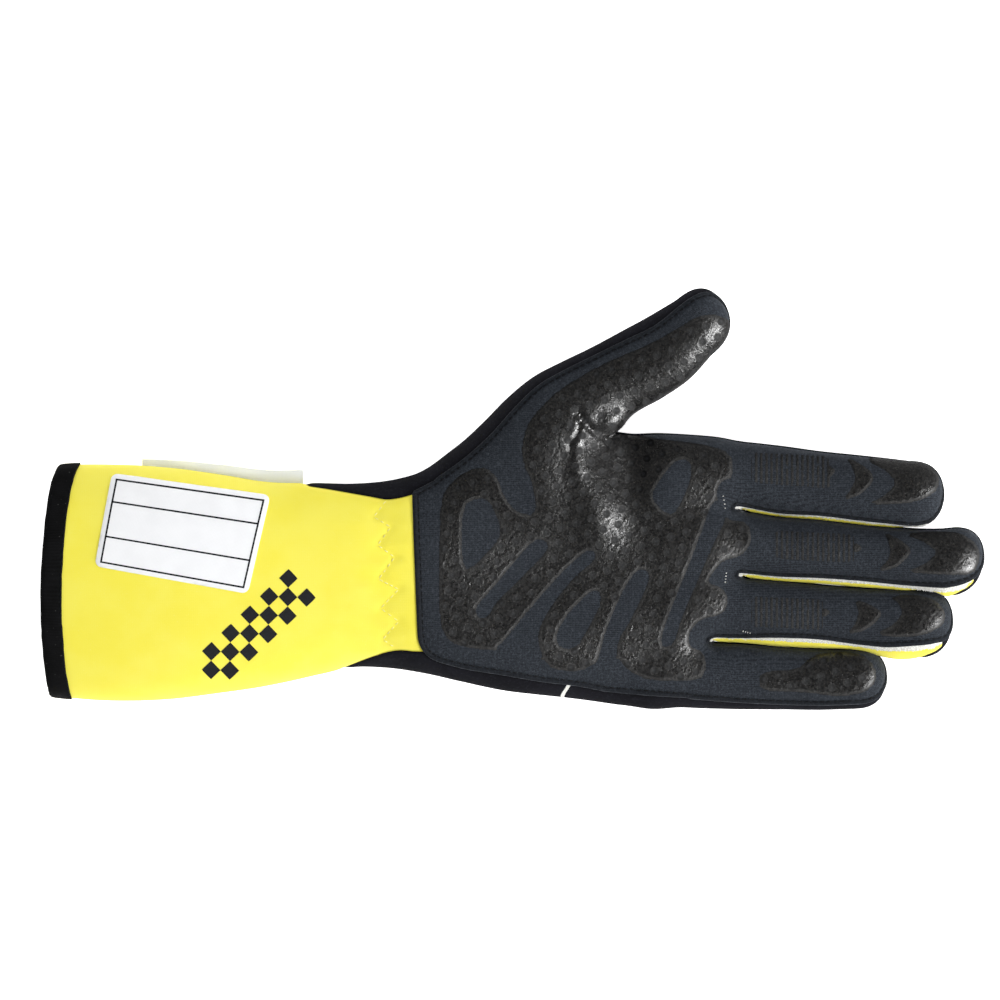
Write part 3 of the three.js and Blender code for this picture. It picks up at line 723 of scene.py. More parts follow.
def away_from(points, places):
    """How far each place is from the nearest of the points."""
    tree = KDTree(len(points))
    for i, point in enumerate(points):
        tree.insert(point, i)
    tree.balance()
    return np.array([tree.find(place)[2] for place in places])


def seam_distance(vertices, faces, skip=None):
    """How far each vertex is from its panel's edge."""
    edges = boundary(faces)
    points = vertices[edges].mean(1)
    points = np.concatenate([points, vertices[np.unique(edges)]])
    if skip is not None:
        points = points[~skip(points)]
    return away_from(points, vertices)


def thicken(vertices, faces, normals, lift, depth):
    """Closes a cut piece of the skin into a solid, from lift outside it to depth inside it.

    Both are one value or one for each vertex.
    """
    n = len(vertices)
    outer = vertices + normals * np.asarray(lift).reshape(-1, 1)
    inner = vertices - normals * np.asarray(depth).reshape(-1, 1)
    edges = boundary(faces)
    a, b = edges[:, 0], edges[:, 1]
    rim = np.concatenate([np.stack([b, a, a + n], 1), np.stack([b, a + n, b + n], 1)])
    return np.concatenate([outer, inner]), np.concatenate([faces, faces[:, ::-1] + n, rim])


def weave_place(p):
    """Where each point lies on the cloth: along the arm or finger, and across it."""
    x, y, z = p.T
    u, v = thumb_axes(x, y)
    thumb = smooth(-16, 4, u) * smooth(-20, -12, v - 2)
    side = np.tanh((y - body_middle(x)) / 12)
    top = thick(x)
    side_v = y - side * np.minimum(z - top, 0)
    thumb_v = v - np.tanh(v / 5) * (z - 36)
    along = x * (1 - thumb) + (u + 25) * thumb
    across = side_v * (1 - thumb) + (thumb_v + 35) * thumb
    return np.stack([along, across], 1)


def make(name, vertices, faces, material, attributes=None, place=None, sharp=60, body="root"):
    """A mesh object from millimetres, smooth shaded, with its measures per point."""
    mesh = bpy.data.meshes.new(name)
    mesh.from_pydata((vertices * MM).tolist(), [], faces.tolist())
    for key, values in (attributes or {}).items():
        data = mesh.attributes.new(key, "FLOAT", "POINT").data
        data.foreach_set("value", np.ascontiguousarray(values, dtype=np.float32))
    if place is not None:
        layer = mesh.uv_layers.new(name="cloth")
        layer.data.foreach_set("uv", np.ascontiguousarray(place[faces.ravel()], dtype=np.float32).ravel())
    mesh.shade_smooth()
    mesh.set_sharp_from_angle(angle=math.radians(sharp))
    mesh.materials.append(material)
    piece = bpy.data.objects.new(name, mesh)
    bpy.context.scene.collection.objects.link(piece)
    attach(piece, body)
    return piece


def subdivide(points, faces):
    """Each triangle into four. Points may carry more columns than three."""
    edges = np.sort(np.concatenate([faces[:, [0, 1]], faces[:, [1, 2]], faces[:, [2, 0]]]), 1)
    unique, inverse = np.unique(edges, axis=0, return_inverse=True)
    inverse = len(points) + inverse.reshape(3, -1)
    (a, b, c), (ab, bc, ca) = faces.T, inverse
    parts = [(a, ab, ca), (ab, b, bc), (ca, bc, c), (ab, bc, ca)]
    middle = points[unique].mean(1)
    return np.concatenate([points, middle]), np.concatenate([np.stack(part, 1) for part in parts])


class Panel:
    """One cut panel of the skin: its outer surface, with what stands out or lies in at its edges."""

    def __init__(self, vertices, faces, edge_lift, hem=False):
        self.vertices, self.faces = compact(vertices, faces)
        self.normals = unit(gradient(skin, self.vertices))
        skip = (lambda p: p[:, 0] < hem_line(p[:, 1]) + 3) if hem else None
        self.seam = seam_distance(self.vertices, self.faces, skip)
        self.outer = self.vertices + self.normals * edge_lift(self.seam)[:, None]

    def solid(self, depth):
        lift = ((self.outer - self.vertices) * self.normals).sum(1)
        return thicken(self.vertices, self.faces, self.normals, lift, depth)

    def near(self, keep):
        """The part of the outer surface for which keep holds, twice as fine, as points with normals."""
        chosen = self.faces[keep(self.outer, self.normals)[self.faces].all(1)]
        points = np.concatenate([self.outer, self.normals], 1)
        points, chosen = compact(points, chosen)
        return subdivide(points, chosen)


def loops(faces):
    """The closed edges of a cut mesh, each as a row of vertices in order."""
    following = {}
    for a, b in boundary(faces):
        following.setdefault(a, []).append(b)
    found = []
    while following:
        start = next(iter(following))
        row = [start]
        while True:
            options = following[row[-1]]
            step = options.pop()
            if not options:
                del following[row[-1]]
            if step == start or step not in following:
                break
            row.append(step)
        if len(row) > 30:
            found.append(np.array(row))
    return found


def evenly(points, spacing, closed=True):
    """A line through points at an even spacing, smoothed a little."""
    for _ in range(4):
        if closed:
            points = points * 0.5 + (np.roll(points, 1, 0) + np.roll(points, -1, 0)) * 0.25
        else:
            inner = points[1:-1] * 0.5 + (points[:-2] + points[2:]) * 0.25
            points = np.concatenate([points[:1], inner, points[-1:]])
    if closed:
        points = np.concatenate([points, points[:1]])
    length = np.concatenate([[0], np.cumsum(np.linalg.norm(np.diff(points, axis=0), axis=1))])
    count = max(int(length[-1] / spacing), 4)
    at = np.linspace(0, length[-1], count, endpoint=not closed)
    return np.stack([np.interp(at, length, points[:, i]) for i in range(3)], 1)


def directions(points, closed=True):
    """Tangent, outward normal and the direction into the panel along a line on the skin."""
    if closed:
        tangent = unit(np.roll(points, -1, 0) - np.roll(points, 1, 0))
    else:
        tangent = unit(np.gradient(points, axis=0))
    normal = unit(gradient(skin, points))
    across = unit(np.cross(normal, tangent))
    return tangent, unit(np.cross(tangent, across)), across


def sweep(lines, profile):
    """A band with a closed profile, given as (in from the edge, out of the skin), along closed lines."""
    vertices, faces, start = [], [], 0
    for points in lines:
        _, normal, across = directions(points)
        n, m = len(points), len(profile)
        ring = [points + across * a + normal * o for a, o in profile]
        vertices.append(np.stack(ring, 1).reshape(-1, 3))
        faces.append(triangles(grid_quads(n, m, closed_n=True, closed_m=True)) + start)
        start += n * m
    return np.concatenate(vertices), np.concatenate(faces)


def stitches(rows, length, radius, sides=6):
    """Short threads with sunk ends, each given as middle, direction and outward normal."""
    along = np.array([-1, -0.75, 0, 0.75, 1]) * length / 2
    size = np.array([0.25, 0.85, 1, 0.85, 0.25]) * radius
    rise = np.array([-0.22, -0.02, 0.06, -0.02, -0.22])
    turn = np.linspace(0, 2 * math.pi, sides, endpoint=False)
    vertices, faces = [], []
    for k, (middle, direction, normal) in enumerate(rows):
        side = np.cross(direction, normal)
        for a, r, h in zip(along, size, rise):
            centre = middle + direction * a + normal * h
            vertices.append(centre + np.outer(np.cos(turn) * r, side) + np.outer(np.sin(turn) * r, normal))
        base = k * len(along) * sides
        for ring in range(len(along) - 1):
            for s in range(sides):
                a = base + ring * sides + s
                b = base + ring * sides + (s + 1) % sides
                faces += [(a, b, b + sides), (a, b + sides, a + sides)]
        for s in range(1, sides - 1):
            faces.append((base, base + s + 1, base + s))
            last = base + (len(along) - 1) * sides
            faces.append((last, last + s, last + s + 1))
    return np.concatenate(vertices), np.array(faces)


def on_line(points, pitch, offset, above):
    """Stitches along a closed line on the skin, beside it by offset."""
    line = evenly(points, pitch)
    tangent, normal, across = directions(line)
    return list(zip(line + across * offset + normal * above, tangent, normal))


class Shader:
    """A short way to write a material's nodes."""

    def __init__(self, name):
        self.material = bpy.data.materials.new(name)
        self.material.use_nodes = True
        self.tree = self.material.node_tree
        self.bsdf = self.tree.nodes["Principled BSDF"]

    def node(self, kind, inputs=(), **settings):
        node = self.tree.nodes.new(kind)
        for key, value in settings.items():
            setattr(node, key, value)
        for key, value in dict(inputs).items():
            self.put(node.inputs[key], value)
        return node

    def put(self, socket, value):
        if isinstance(value, bpy.types.NodeSocket):
            self.tree.links.new(value, socket)
        else:
            socket.default_value = value

    def calc(self, operation, a, b=0.0, clamp=False):
        return self.node("ShaderNodeMath", {0: a, 1: b}, operation=operation, use_clamp=clamp).outputs[0]

    def mix(self, share, a, b):
        node = self.node("ShaderNodeMix", data_type="RGBA")
        self.put(node.inputs[0], share)
        self.put(node.inputs[6], a)
        self.put(node.inputs[7], b)
        return node.outputs[2]

    def plus(self, a, b, share):
        """The value a with a share of b added."""
        return self.calc("ADD", a, self.calc("MULTIPLY", b, share))

    def tint(self, shade, value, span, screen):
        """The shade turned to a screen colour where value is in a span: from, to and the shares there."""
        return self.mix(self.range(value, *span), shade, colour(*screen))

    def number(self, name):
        """A measure that the mesh carries per point."""
        return self.node("ShaderNodeAttribute", attribute_name=name).outputs["Fac"]

    def range(self, value, low, high, to_low=0.0, to_high=1.0):
        inputs = {"Value": value, "From Min": low, "From Max": high, "To Min": to_low, "To Max": to_high}
        return self.node("ShaderNodeMapRange", inputs, interpolation_type="SMOOTHSTEP").outputs[0]

    def space(self):
        return self.node("ShaderNodeTexCoord").outputs["Object"]

    def speckle(self, size, detail=2.0, roughness=0.5):
        """Noise with bumps of a size in millimetres."""
        inputs = {"Vector": self.space(), "Scale": 1 / (size * MM), "Detail": detail, "Roughness": roughness}
        return self.node("ShaderNodeTexNoise", inputs).outputs["Fac"]

    def cloth(self):
        """The two cloth coordinates in millimetres."""
        uv = self.node("ShaderNodeUVMap", uv_map="cloth").outputs["UV"]
        split_uv = self.node("ShaderNodeSeparateXYZ", {0: uv})
        return split_uv.outputs[0], split_uv.outputs[1]

    def wave(self, value, pitch, shift=0.0):
        turned = self.calc("MULTIPLY_ADD", value, 2 * math.pi / pitch)
        turned.node.inputs[2].default_value = shift
        return self.calc("MULTIPLY_ADD", self.calc("SINE", turned), 0.5).node.outputs[0]

    def bump(self, height, strength, distance):
        inputs = {"Height": height, "Strength": strength, "Distance": distance * MM}
        self.put(self.bsdf.inputs["Normal"], self.node("ShaderNodeBump", inputs).outputs[0])

    def set(self, **values):
        """Gives the surface its inputs, named with underscores for spaces, and returns the material."""
        for key, value in values.items():
            self.put(self.bsdf.inputs[key.replace("_", " ")], value)
        return self.material


def colour(red, green, blue):
    """A colour from its values on a screen, 0 to 255."""

    def one(c):
        c /= 255
        return c / 12.92 if c < 0.04045 else ((c + 0.055) / 1.055) ** 2.4

    return (one(red), one(green), one(blue), 1)


LINING_COLOUR = (206, 203, 194)


def knit_height(s, rows, wales, column_share):
    """Knitted columns with the loops along them."""
    along, across = s.cloth()
    columns = s.wave(across, wales)
    loop = s.wave(along, rows)
    both = s.calc("MULTIPLY", columns, column_share)
    return s.calc("ADD", both, s.calc("MULTIPLY", loop, 1 - column_share))


def palm_material():
    s = Shader("palm_knit")
    height = knit_height(s, rows=0.95, wales=0.72, column_share=0.75)
    patchy = s.range(s.speckle(9, detail=3), 0.3, 0.7)
    fibre = s.speckle(0.35)
    ground = s.mix(patchy, colour(38, 41, 47), colour(44, 48, 54))
    grain = s.speckle(0.85, roughness=0.6)
    ground = s.tint(ground, grain, (0.35, 0.65, 0.6, 0), (18, 20, 24))
    ground = s.tint(ground, grain, (0.5, 0.72, 0, 0.5), (66, 70, 77))
    shade = s.mix(s.calc("MULTIPLY", height, 0.6), ground, colour(55, 60, 66))
    shade = s.tint(shade, fibre, (0.56, 0.74, 0, 0.45), (84, 88, 94))
    shade = s.tint(shade, fibre, (0.3, 0.44, 0.5, 0), (20, 22, 25))
    # Towards the panel's seams the knit is painted darker: painted shade where the cloth rolls over at its
    # edges.
    shade = s.tint(shade, s.number("seam"), (0.2, 2.4, 0.7, 0.0), (17, 18, 20))
    shade = s.mix(s.number("inside"), shade, colour(*LINING_COLOUR))
    s.bump(s.plus(height, fibre, 0.5), strength=0.5, distance=0.16)
    return s.set(
        Base_Color=shade,
        Roughness=s.range(fibre, 0.3, 0.7, 0.74, 0.9),
        Sheen_Weight=0.12,
        Sheen_Roughness=0.35,
        Sheen_Tint=(0.75, 0.8, 0.9, 1),
        Specular_IOR_Level=0.06,
    )


def grip_material():
    s = Shader("silicone_grip")
    crumb = s.speckle(0.8, detail=3, roughness=0.62)
    fine = s.speckle(0.32)
    dot = s.number("dot")
    rim = s.number("rim")
    rough = s.range(s.speckle(1.1), 0.35, 0.7, 0.27, 0.42)
    rough = s.calc("ADD", rough, s.range(rim, 0.4, 1.5, 0.5, 0.0))
    rough = s.calc("ADD", rough, s.range(dot, 0.25, 0.7, 0.5, 0.0), clamp=True)
    shade = s.mix(s.range(crumb, 0.42, 0.62), colour(5, 5, 6), colour(30, 30, 30))
    shade = s.tint(shade, fine, (0.57, 0.72, 0, 0.45), (90, 85, 77))
    # A dark ring is painted round each sunk dot: painted shade at the dot's edge.
    ring = s.range(s.calc("ABSOLUTE", s.calc("ADD", dot, -0.05)), 0.15, 0.55, 1.0, 0.0)
    shade = s.tint(shade, dot, (-0.5, 0.0, 0.85, 0.0), (20, 22, 25))
    shade = s.mix(ring, shade, colour(3, 3, 4))
    # Along the print's raised edge the colour is painted near black: painted shade at the edge.
    shade = s.tint(shade, rim, (0.0, 0.6, 0.9, 0.0), (4, 4, 5))
    s.bump(s.plus(crumb, fine, 0.6), strength=1.0, distance=0.16)
    return s.set(Base_Color=shade, Roughness=rough, Specular_IOR_Level=0.6)


def back_material():
    s = Shader("back_cloth")
    height = knit_height(s, rows=0.6, wales=0.5, column_share=0.5)
    patchy = s.range(s.speckle(12, detail=3), 0.3, 0.7)
    fibre = s.speckle(0.3)
    shade = s.mix(patchy, colour(23, 23, 27), colour(28, 28, 33))
    grain = s.speckle(0.9, roughness=0.6)
    shade = s.tint(shade, grain, (0.5, 0.75, 0, 0.4), (44, 46, 52))
    shade = s.tint(shade, fibre, (0.58, 0.76, 0, 0.4), (40, 42, 47))
    # Towards the panel's seams the cloth is painted darker: painted shade where it dips under its
    # neighbours' edges.
    shade = s.tint(shade, s.number("seam"), (0.2, 1.8, 0.6, 0.0), (9, 9, 10))
    shade = s.mix(s.number("inside"), shade, colour(*LINING_COLOUR))
    s.bump(s.calc("ADD", height, fibre), strength=0.35, distance=0.1)
    return s.set(
        Base_Color=shade,
        Roughness=s.range(patchy, 0.0, 1.0, 0.72, 0.84),
        Sheen_Weight=0.01,
        Sheen_Roughness=0.4,
        Specular_IOR_Level=0.03,
    )


def yellow_material(name, lining=False):
    s = Shader(name)
    height = knit_height(s, rows=0.7, wales=0.55, column_share=0.6)
    patchy = s.range(s.speckle(16, detail=3), 0.3, 0.7)
    fibre = s.speckle(0.3)
    shade = s.mix(patchy, colour(245, 233, 84), colour(247, 237, 98))
    shade = s.mix(s.calc("MULTIPLY", height, 0.25), shade, colour(240, 226, 62))
    shade = s.tint(shade, fibre, (0.6, 0.8, 0, 0.4), (250, 244, 150))
    if lining:
        torn = s.calc("ADD", s.number("palm_edge"), s.range(s.speckle(0.8, detail=3), 0.2, 0.8, -0.7, 0.7))
        shade = s.tint(shade, torn, (0.9, 1.4, 1.0, 0.0), (236, 235, 228))
        # Towards the strip's edges the yellow is painted dark: painted shade in the gaps between the
        # fingers.
        shade = s.tint(shade, s.number("seam"), (0.0, 0.7, 0.5, 0.0), (60, 60, 50))
    else:
        # Towards the seams and the hem the yellow is painted darker and greener: painted shade at the edges.
        shade = s.tint(shade, s.number("seam"), (0.0, 0.8, 0.55, 0.0), (150, 140, 20))
        shade = s.mix(s.number("inside"), shade, colour(*LINING_COLOUR))
    s.bump(s.plus(height, fibre, 0.6), strength=0.3, distance=0.1)
    return s.set(
        Base_Color=shade,
        Roughness=s.range(fibre, 0.3, 0.7, 0.68, 0.82),
        Sheen_Weight=0.08,
        Sheen_Roughness=0.5,
        Specular_IOR_Level=0.06,
    )


def binding_material():
    s = Shader("hem_binding")
    along, _ = s.cloth()
    rib = s.wave(along, 0.8)
    fibre = s.speckle(0.3, detail=3)
    lint = s.range(s.speckle(0.9, detail=1), 0.74, 0.8, 0, 0.35)
    shade = s.mix(s.range(s.speckle(7), 0.3, 0.7), colour(11, 11, 11), colour(17, 17, 18))
    shade = s.mix(s.calc("MULTIPLY", rib, 0.3), shade, colour(23, 24, 26))
    shade = s.mix(lint, shade, colour(96, 96, 94))
    s.bump(s.calc("ADD", rib, fibre), strength=0.4, distance=0.14)
    return s.set(
        Base_Color=shade,
        Roughness=s.range(fibre, 0.3, 0.7, 0.72, 0.88),
        Sheen_Weight=0.02,
        Sheen_Roughness=0.4,
        Specular_IOR_Level=0.04,
    )


def plain_material(name, low, high, rough=(0.55, 0.7), size=0.4, depth=0.06, level=0.1):
    """Thread, print and woven label: two close shades, with fine fibres."""
    s = Shader(name)
    fibre = s.speckle(size, detail=3)
    shade = s.mix(s.range(fibre, 0.35, 0.7), colour(*low), colour(*high))
    s.bump(fibre, strength=0.4, distance=depth)
    return s.set(Base_Color=shade, Roughness=s.range(fibre, 0.3, 0.7, *rough), Specular_IOR_Level=level)


def label_material(name="white_patch", low=(243, 244, 246), high=(246, 247, 249)):
    s = Shader(name)
    along, across = s.cloth()
    warp = s.calc("MULTIPLY", s.wave(along, 0.45), s.wave(across, 0.45))
    fibre = s.speckle(0.35)
    shade = s.mix(s.range(s.speckle(6), 0.3, 0.7), colour(*low), colour(*high))
    shade = s.mix(s.calc("MULTIPLY", warp, 0.3), shade, colour(222, 223, 224))
    s.bump(s.plus(warp, fibre, 0.5), strength=0.3, distance=0.06)
    return s.set(Base_Color=shade, Roughness=s.range(fibre, 0.3, 0.7, 0.5, 0.65), Specular_IOR_Level=0.12)


scene = bpy.context.scene
CLOTH_DEPTH = 1.7
STRIP_DEPTH = 1.4
STRIP_BULGE = 0.8

vertices, faces = build_skin()
normals = unit(gradient(skin, vertices))
vertices = vertices + normals * folds(vertices, normals)[:, None]
vertices, faces, _ = split(vertices, faces, hem_line(vertices[:, 1]) + 1.2 - vertices[:, 0])
vertices, palm_faces, rest = split(vertices, faces, palm_field(vertices.T))
vertices, gauntlet_faces, rest = split(vertices, rest, gauntlet_field(vertices.T))
strips = {}
for web, ends in WEBS.items():
    vertices, strips[web], rest = split(vertices, rest, strip_field(vertices.T, ends))

palm = Panel(vertices, palm_faces, lambda d: 0.1 - 0.25 * bell(d - 1.9, 0.8))
gauntlet = Panel(vertices, gauntlet_faces, lambda d: -0.45 * bell(d, 1.6), hem=True)
back = Panel(vertices, rest, lambda d: -0.55 * bell(d, 1.5))
palm_edge = vertices[np.unique(boundary(palm_faces))]

knit = palm_material()
black = back_material()
white_thread = plain_material("white_thread", (214, 214, 208), (243, 243, 238))
black_thread = plain_material("black_thread", (12, 12, 13), (32, 33, 36))
yellow_thread = plain_material("yellow_thread", (238, 230, 130), (252, 248, 190))
print_black = plain_material(
    "print_black", (24, 25, 29), (31, 32, 36), rough=(0.5, 0.62), size=0.6, depth=0.03, level=0.2
)


def panel_piece(panel, name, material, node, depth=CLOTH_DEPTH, extra=None):
    solid, solid_faces = panel.solid(depth)
    n = len(panel.vertices)
    inside = np.concatenate([np.zeros(n), np.ones(n)])
    values = {"seam": np.tile(panel.seam, 2), "inside": inside}
    values.update(extra or {})
    piece = make(name, solid, solid_faces, material, values, weave_place(np.tile(panel.vertices, (2, 1))))
    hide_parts(node)


panel_piece(palm, "palm_knit", knit, "palm_panel")
panel_piece(back, "back_cloth", black, "back_panel")
panel_piece(gauntlet, "gauntlet_cloth", yellow_material("gauntlet_yellow"), "gauntlet")
strip_yellow = yellow_material("strip_yellow", lining=True)
for web in WEBS:
    strip = Panel(vertices, strips[web], lambda d: -0.35 * bell(d, 1.0))
    upper = FINGERS[WEBS[web][0]]
    x, y, z = strip.vertices.T
    side = upper.y(x) - upper.w(x) - 0.3
    full = smooth(0.5, 3.0, strip.seam) * smooth(upper.tip - 10, upper.tip - 18, x) * (y > side)
    strip.outer += strip.normals * (STRIP_BULGE * full)[:, None]
    hidden = (y < side) | (z < upper.z(x) - 1)
    extra = {"palm_edge": np.tile(away_from(palm_edge, strip.vertices) + 9.0 * hidden, 2)}
    panel_piece(
        strip, "strip_" + web, strip_yellow, "fourchette_" + web, STRIP_DEPTH, extra
    )

# The palm's edge is turned under and stitched down: a rolled lip and a row of dark stitches inside it.
LIP = [
    (-0.15, -0.75), (-0.3, -0.2), (-0.12, 0.28), (0.35, 0.5),
    (0.9, 0.46), (1.3, 0.22), (1.45, -0.2), (0.7, -0.8),
]
edges = [evenly(palm.vertices[row], 0.9) for row in loops(palm.faces)]
lip, lip_faces = sweep(edges, LIP)
# The whole lip is given a short seam distance so that the knit's seam tint paints it darker: painted shade
# on the rolled edge.
lip_values = {"seam": np.full(len(lip), 0.9), "inside": np.zeros(len(lip))}
lip_piece = make("palm_edge", lip, lip_faces, knit, lip_values, weave_place(lip))
rows = []
for line in edges:
    rows += on_line(line, pitch=2.4, offset=1.75, above=0.02)
thread, thread_faces = stitches(rows, length=1.8, radius=0.16)
make("palm_edge_stitches", thread, thread_faces, black_thread)


# The raw white edge of the lining shows beside the palm's edge along the strips between the fingers.
def beside_strips(points):
    """The stretches of a palm edge that run along the upper edge of a strip."""
    keep = np.zeros(len(points), bool)
    x, y, z = points.T
    for name, _, start in WEBS.values():
        one = FINGERS[name]
        beside = (y < one.y(x)) & (y > one.y(x) - one.w(x) - 1) & (z > one.z(x))
        keep |= (x > start - 1) & (x < one.tip - 4) & beside
    found, run = [], []
    for i in np.roll(np.arange(len(points)), -np.argmin(keep)):
        if keep[i]:
            run.append(i)
        elif run:
            found.append(points[run])
            run = []
    if run:
        found.append(points[run])
    return [evenly(part, 0.3, closed=False) for part in found if len(part) > 20]


# How much of the seam's inset beside each finger shows the lining, told apart where the fingers are at X.
LINING_SHARE = {"index": 0.95, "middle": 0.8, "ring": 0.6, "little": 0.6}
TELL_AT = 110


def lining_ribbon(line):
    """A thin ribbon out from under the palm's edge, with a torn border."""
    _, normal, across = directions(line, closed=False)
    n = len(line)
    share = np.linspace(0, 1, n)
    ends = np.minimum(smooth(0, 0.03, share), smooth(1, 0.97, share))
    x = line[:, 0]
    there = np.interp(TELL_AT, x, line[:, 1])
    name = min(FINGERS, key=lambda finger: abs(FINGERS[finger].seam(TELL_AT) - there))
    seen = LINING_SHARE[name] * (0.6 + 0.4 * smooth(78, 92, x)) * np.maximum(FINGERS[name].inset(x), 0.9)
    seen = seen / np.maximum(normal[:, 2], 0.45)
    ragged = 0.25 * noise(line, 2.5, seed=51)
    wide = (np.minimum(seen, 2.2) + ragged) * ends + 0.35 * rng.uniform(-1, 1, n) * ends
    height = 0.16 + 0.1 * rng.uniform(-1, 1, n)
    stations = [(-0.4, 0.06), (0.35, 0.14), (0.75, 0.1), (1.0, 0.0)]
    out = [line - across * (wide * s)[:, None] for s, _ in stations]
    top = [place + normal * (h + height * (s > 0))[:, None] for place, (s, h) in zip(out, stations)]
    low = [place - normal * 0.1 for place in out[::-1]]
    ring = np.stack(top + low, 1)
    m = ring.shape[1]
    quads = grid_quads(n, m, closed_m=True)[:, [0, 3, 2, 1]]
    caps = [(0, k, k + 1) for k in range(1, m - 1)]
    last = (n - 1) * m
    caps += [(last, last + k + 1, last + k) for k in range(1, m - 1)]
    return ring.reshape(-1, 3), np.concatenate([triangles(quads), np.array(caps)])


def joined(parts):
    vertices, faces, start = [], [], 0
    for v, f in parts:
        vertices.append(v)
        faces.append(f + start)
        start += len(v)
    return np.concatenate(vertices), np.concatenate(faces)


ribbons = [lining_ribbon(part) for line in edges for part in beside_strips(line)]
lining = plain_material(
    "lining_edge", (206, 205, 198), (244, 244, 240), rough=(0.8, 0.95), size=0.5, depth=0.2, level=0.15
)
make("lining_edge", *joined(ribbons), lining)

# The binding round the opening, as places in from the opening and out of the cloth.
BINDING = [
    (7.3, -0.1), (7.25, 0.28), (6.9, 0.55), (5.6, 0.64), (3.6, 0.66),
    (1.7, 0.68), (0.6, 0.55), (0.08, 0.0), (-0.05, -0.9), (0.15, -1.8),
    (0.8, -2.3), (2.6, -2.45), (5.6, -2.4), (6.7, -2.3), (6.9, -1.8),
]
AROUND = 300


def binding_ring():
    turn = np.linspace(0, 2 * math.pi, AROUND, endpoint=False)
    rings = []
    for along, grow in BINDING:
        start = HEM_MIDDLE_Y + (HEM_HALF + 1) * np.cos(turn)
        for _ in range(3):
            x = hem_line(start) + along
            half = (side_up(x) - side_low(x)) / 2 + grow
            start = body_middle(x) + half * np.sign(np.cos(turn)) * np.abs(np.cos(turn)) ** 0.8
        height = thick(x) / 2 + CREST + grow
        z = thick(x) / 2 - CREST + height * np.sign(np.sin(turn)) * np.abs(np.sin(turn)) ** 0.8
        z = -union(-z, np.full(AROUND, grow - HEM_LIFT - 0.08), 1.6)
        rings.append(np.stack([x, start, z], 1))
    points = np.stack(rings, 1).reshape(-1, 3)
    ripple = 0.12 * noise(points, 6, seed=21) + 0.1 * noise(points, 2.2, seed=22)
    points[:, 0] += ripple
    m = len(BINDING)
    turned = np.repeat(turn, m) * 33
    place = np.stack([turned, np.tile([p[0] for p in BINDING], AROUND)], 1)
    return points, triangles(grid_quads(AROUND, m, closed_n=True, closed_m=True)), place


binding, binding_faces, binding_place = binding_ring()
hem = make("hem_binding", binding, binding_faces, binding_material(), place=binding_place, sharp=80)
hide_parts("cuff_hem")
stitch_line = binding.reshape(AROUND, len(BINDING), 3)[:, 2]
rows = on_line(stitch_line, pitch=2.6, offset=0, above=0.04)
thread, thread_faces = stitches(rows, length=1.9, radius=0.15)
make("hem_stitches", thread, thread_faces, black_thread)

# What lies on the cloth is laid on its real surface, looked for from above.
ground = BVHTree.FromPolygons(gauntlet.outer.tolist(), gauntlet.faces.tolist())
OVERHEAD = 90


def surface_under(tree, places):
    """The surface under places seen from above, and its normals."""
    hits = [tree.ray_cast(Vector((x, y, OVERHEAD)), Vector((0, 0, -1))) for x, y in places]
    return np.array([hit[0] for hit in hits]), np.array([hit[1] for hit in hits])


PATCH = np.array([(-135.5, 9.0), (-81.8, 1.5), (-89.4, -31.8), (-141.2, -22.4)])
PATCH_ROUND = 2.2
PATCH_LIFT = 0.62


def in_patch(u, v):
    """A place in the patch, both shares from 0 to 1, seen from above."""
    a, b, c, d = PATCH
    u, v = u[:, None], v[:, None]
    return (a * (1 - u) + b * u) * (1 - v) + (d * (1 - u) + c * u) * v


def patch_grid(columns, rows):
    u, v = np.meshgrid(np.linspace(0, 1, columns), np.linspace(0, 1, rows), indexing="ij")
    return u.ravel(), v.ravel(), triangles(grid_quads(columns, rows))


WIDE, HIGH = 53.4, 34.0
u, v, patch_faces = patch_grid(72, 46)
reach = [np.abs(share - 0.5) * size - size / 2 + PATCH_ROUND for share, size in ((u, WIDE), (v, HIGH))]
reach = np.stack(reach, 1)
corner = np.hypot(*np.maximum(reach, 0).T) + np.minimum(reach.max(1), 0) - PATCH_ROUND
surface, outward = surface_under(ground, in_patch(u, v))
points = np.concatenate([surface, outward, np.stack([u * WIDE, v * HIGH, -corner], 1)], 1)
points, patch_faces, _ = split(points, patch_faces, corner)
points, patch_faces = compact(points, patch_faces)
puff = 0.14 * noise(points[:, :3], 7, seed=31) + PATCH_LIFT * (1 - 0.55 * bell(points[:, 8], 0.7))
patch, patch_solid = thicken(points[:, :3], patch_faces, unit(points[:, 3:6]), puff, 0.25)
patch_place = np.tile(points[:, 6:8], (2, 1))
piece = make("label_patch_cloth", patch, patch_solid, label_material(), place=patch_place, sharp=70)
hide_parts("label_patch")
patch_top = BVHTree.FromPolygons(patch[: len(points)].tolist(), patch_faces.tolist())


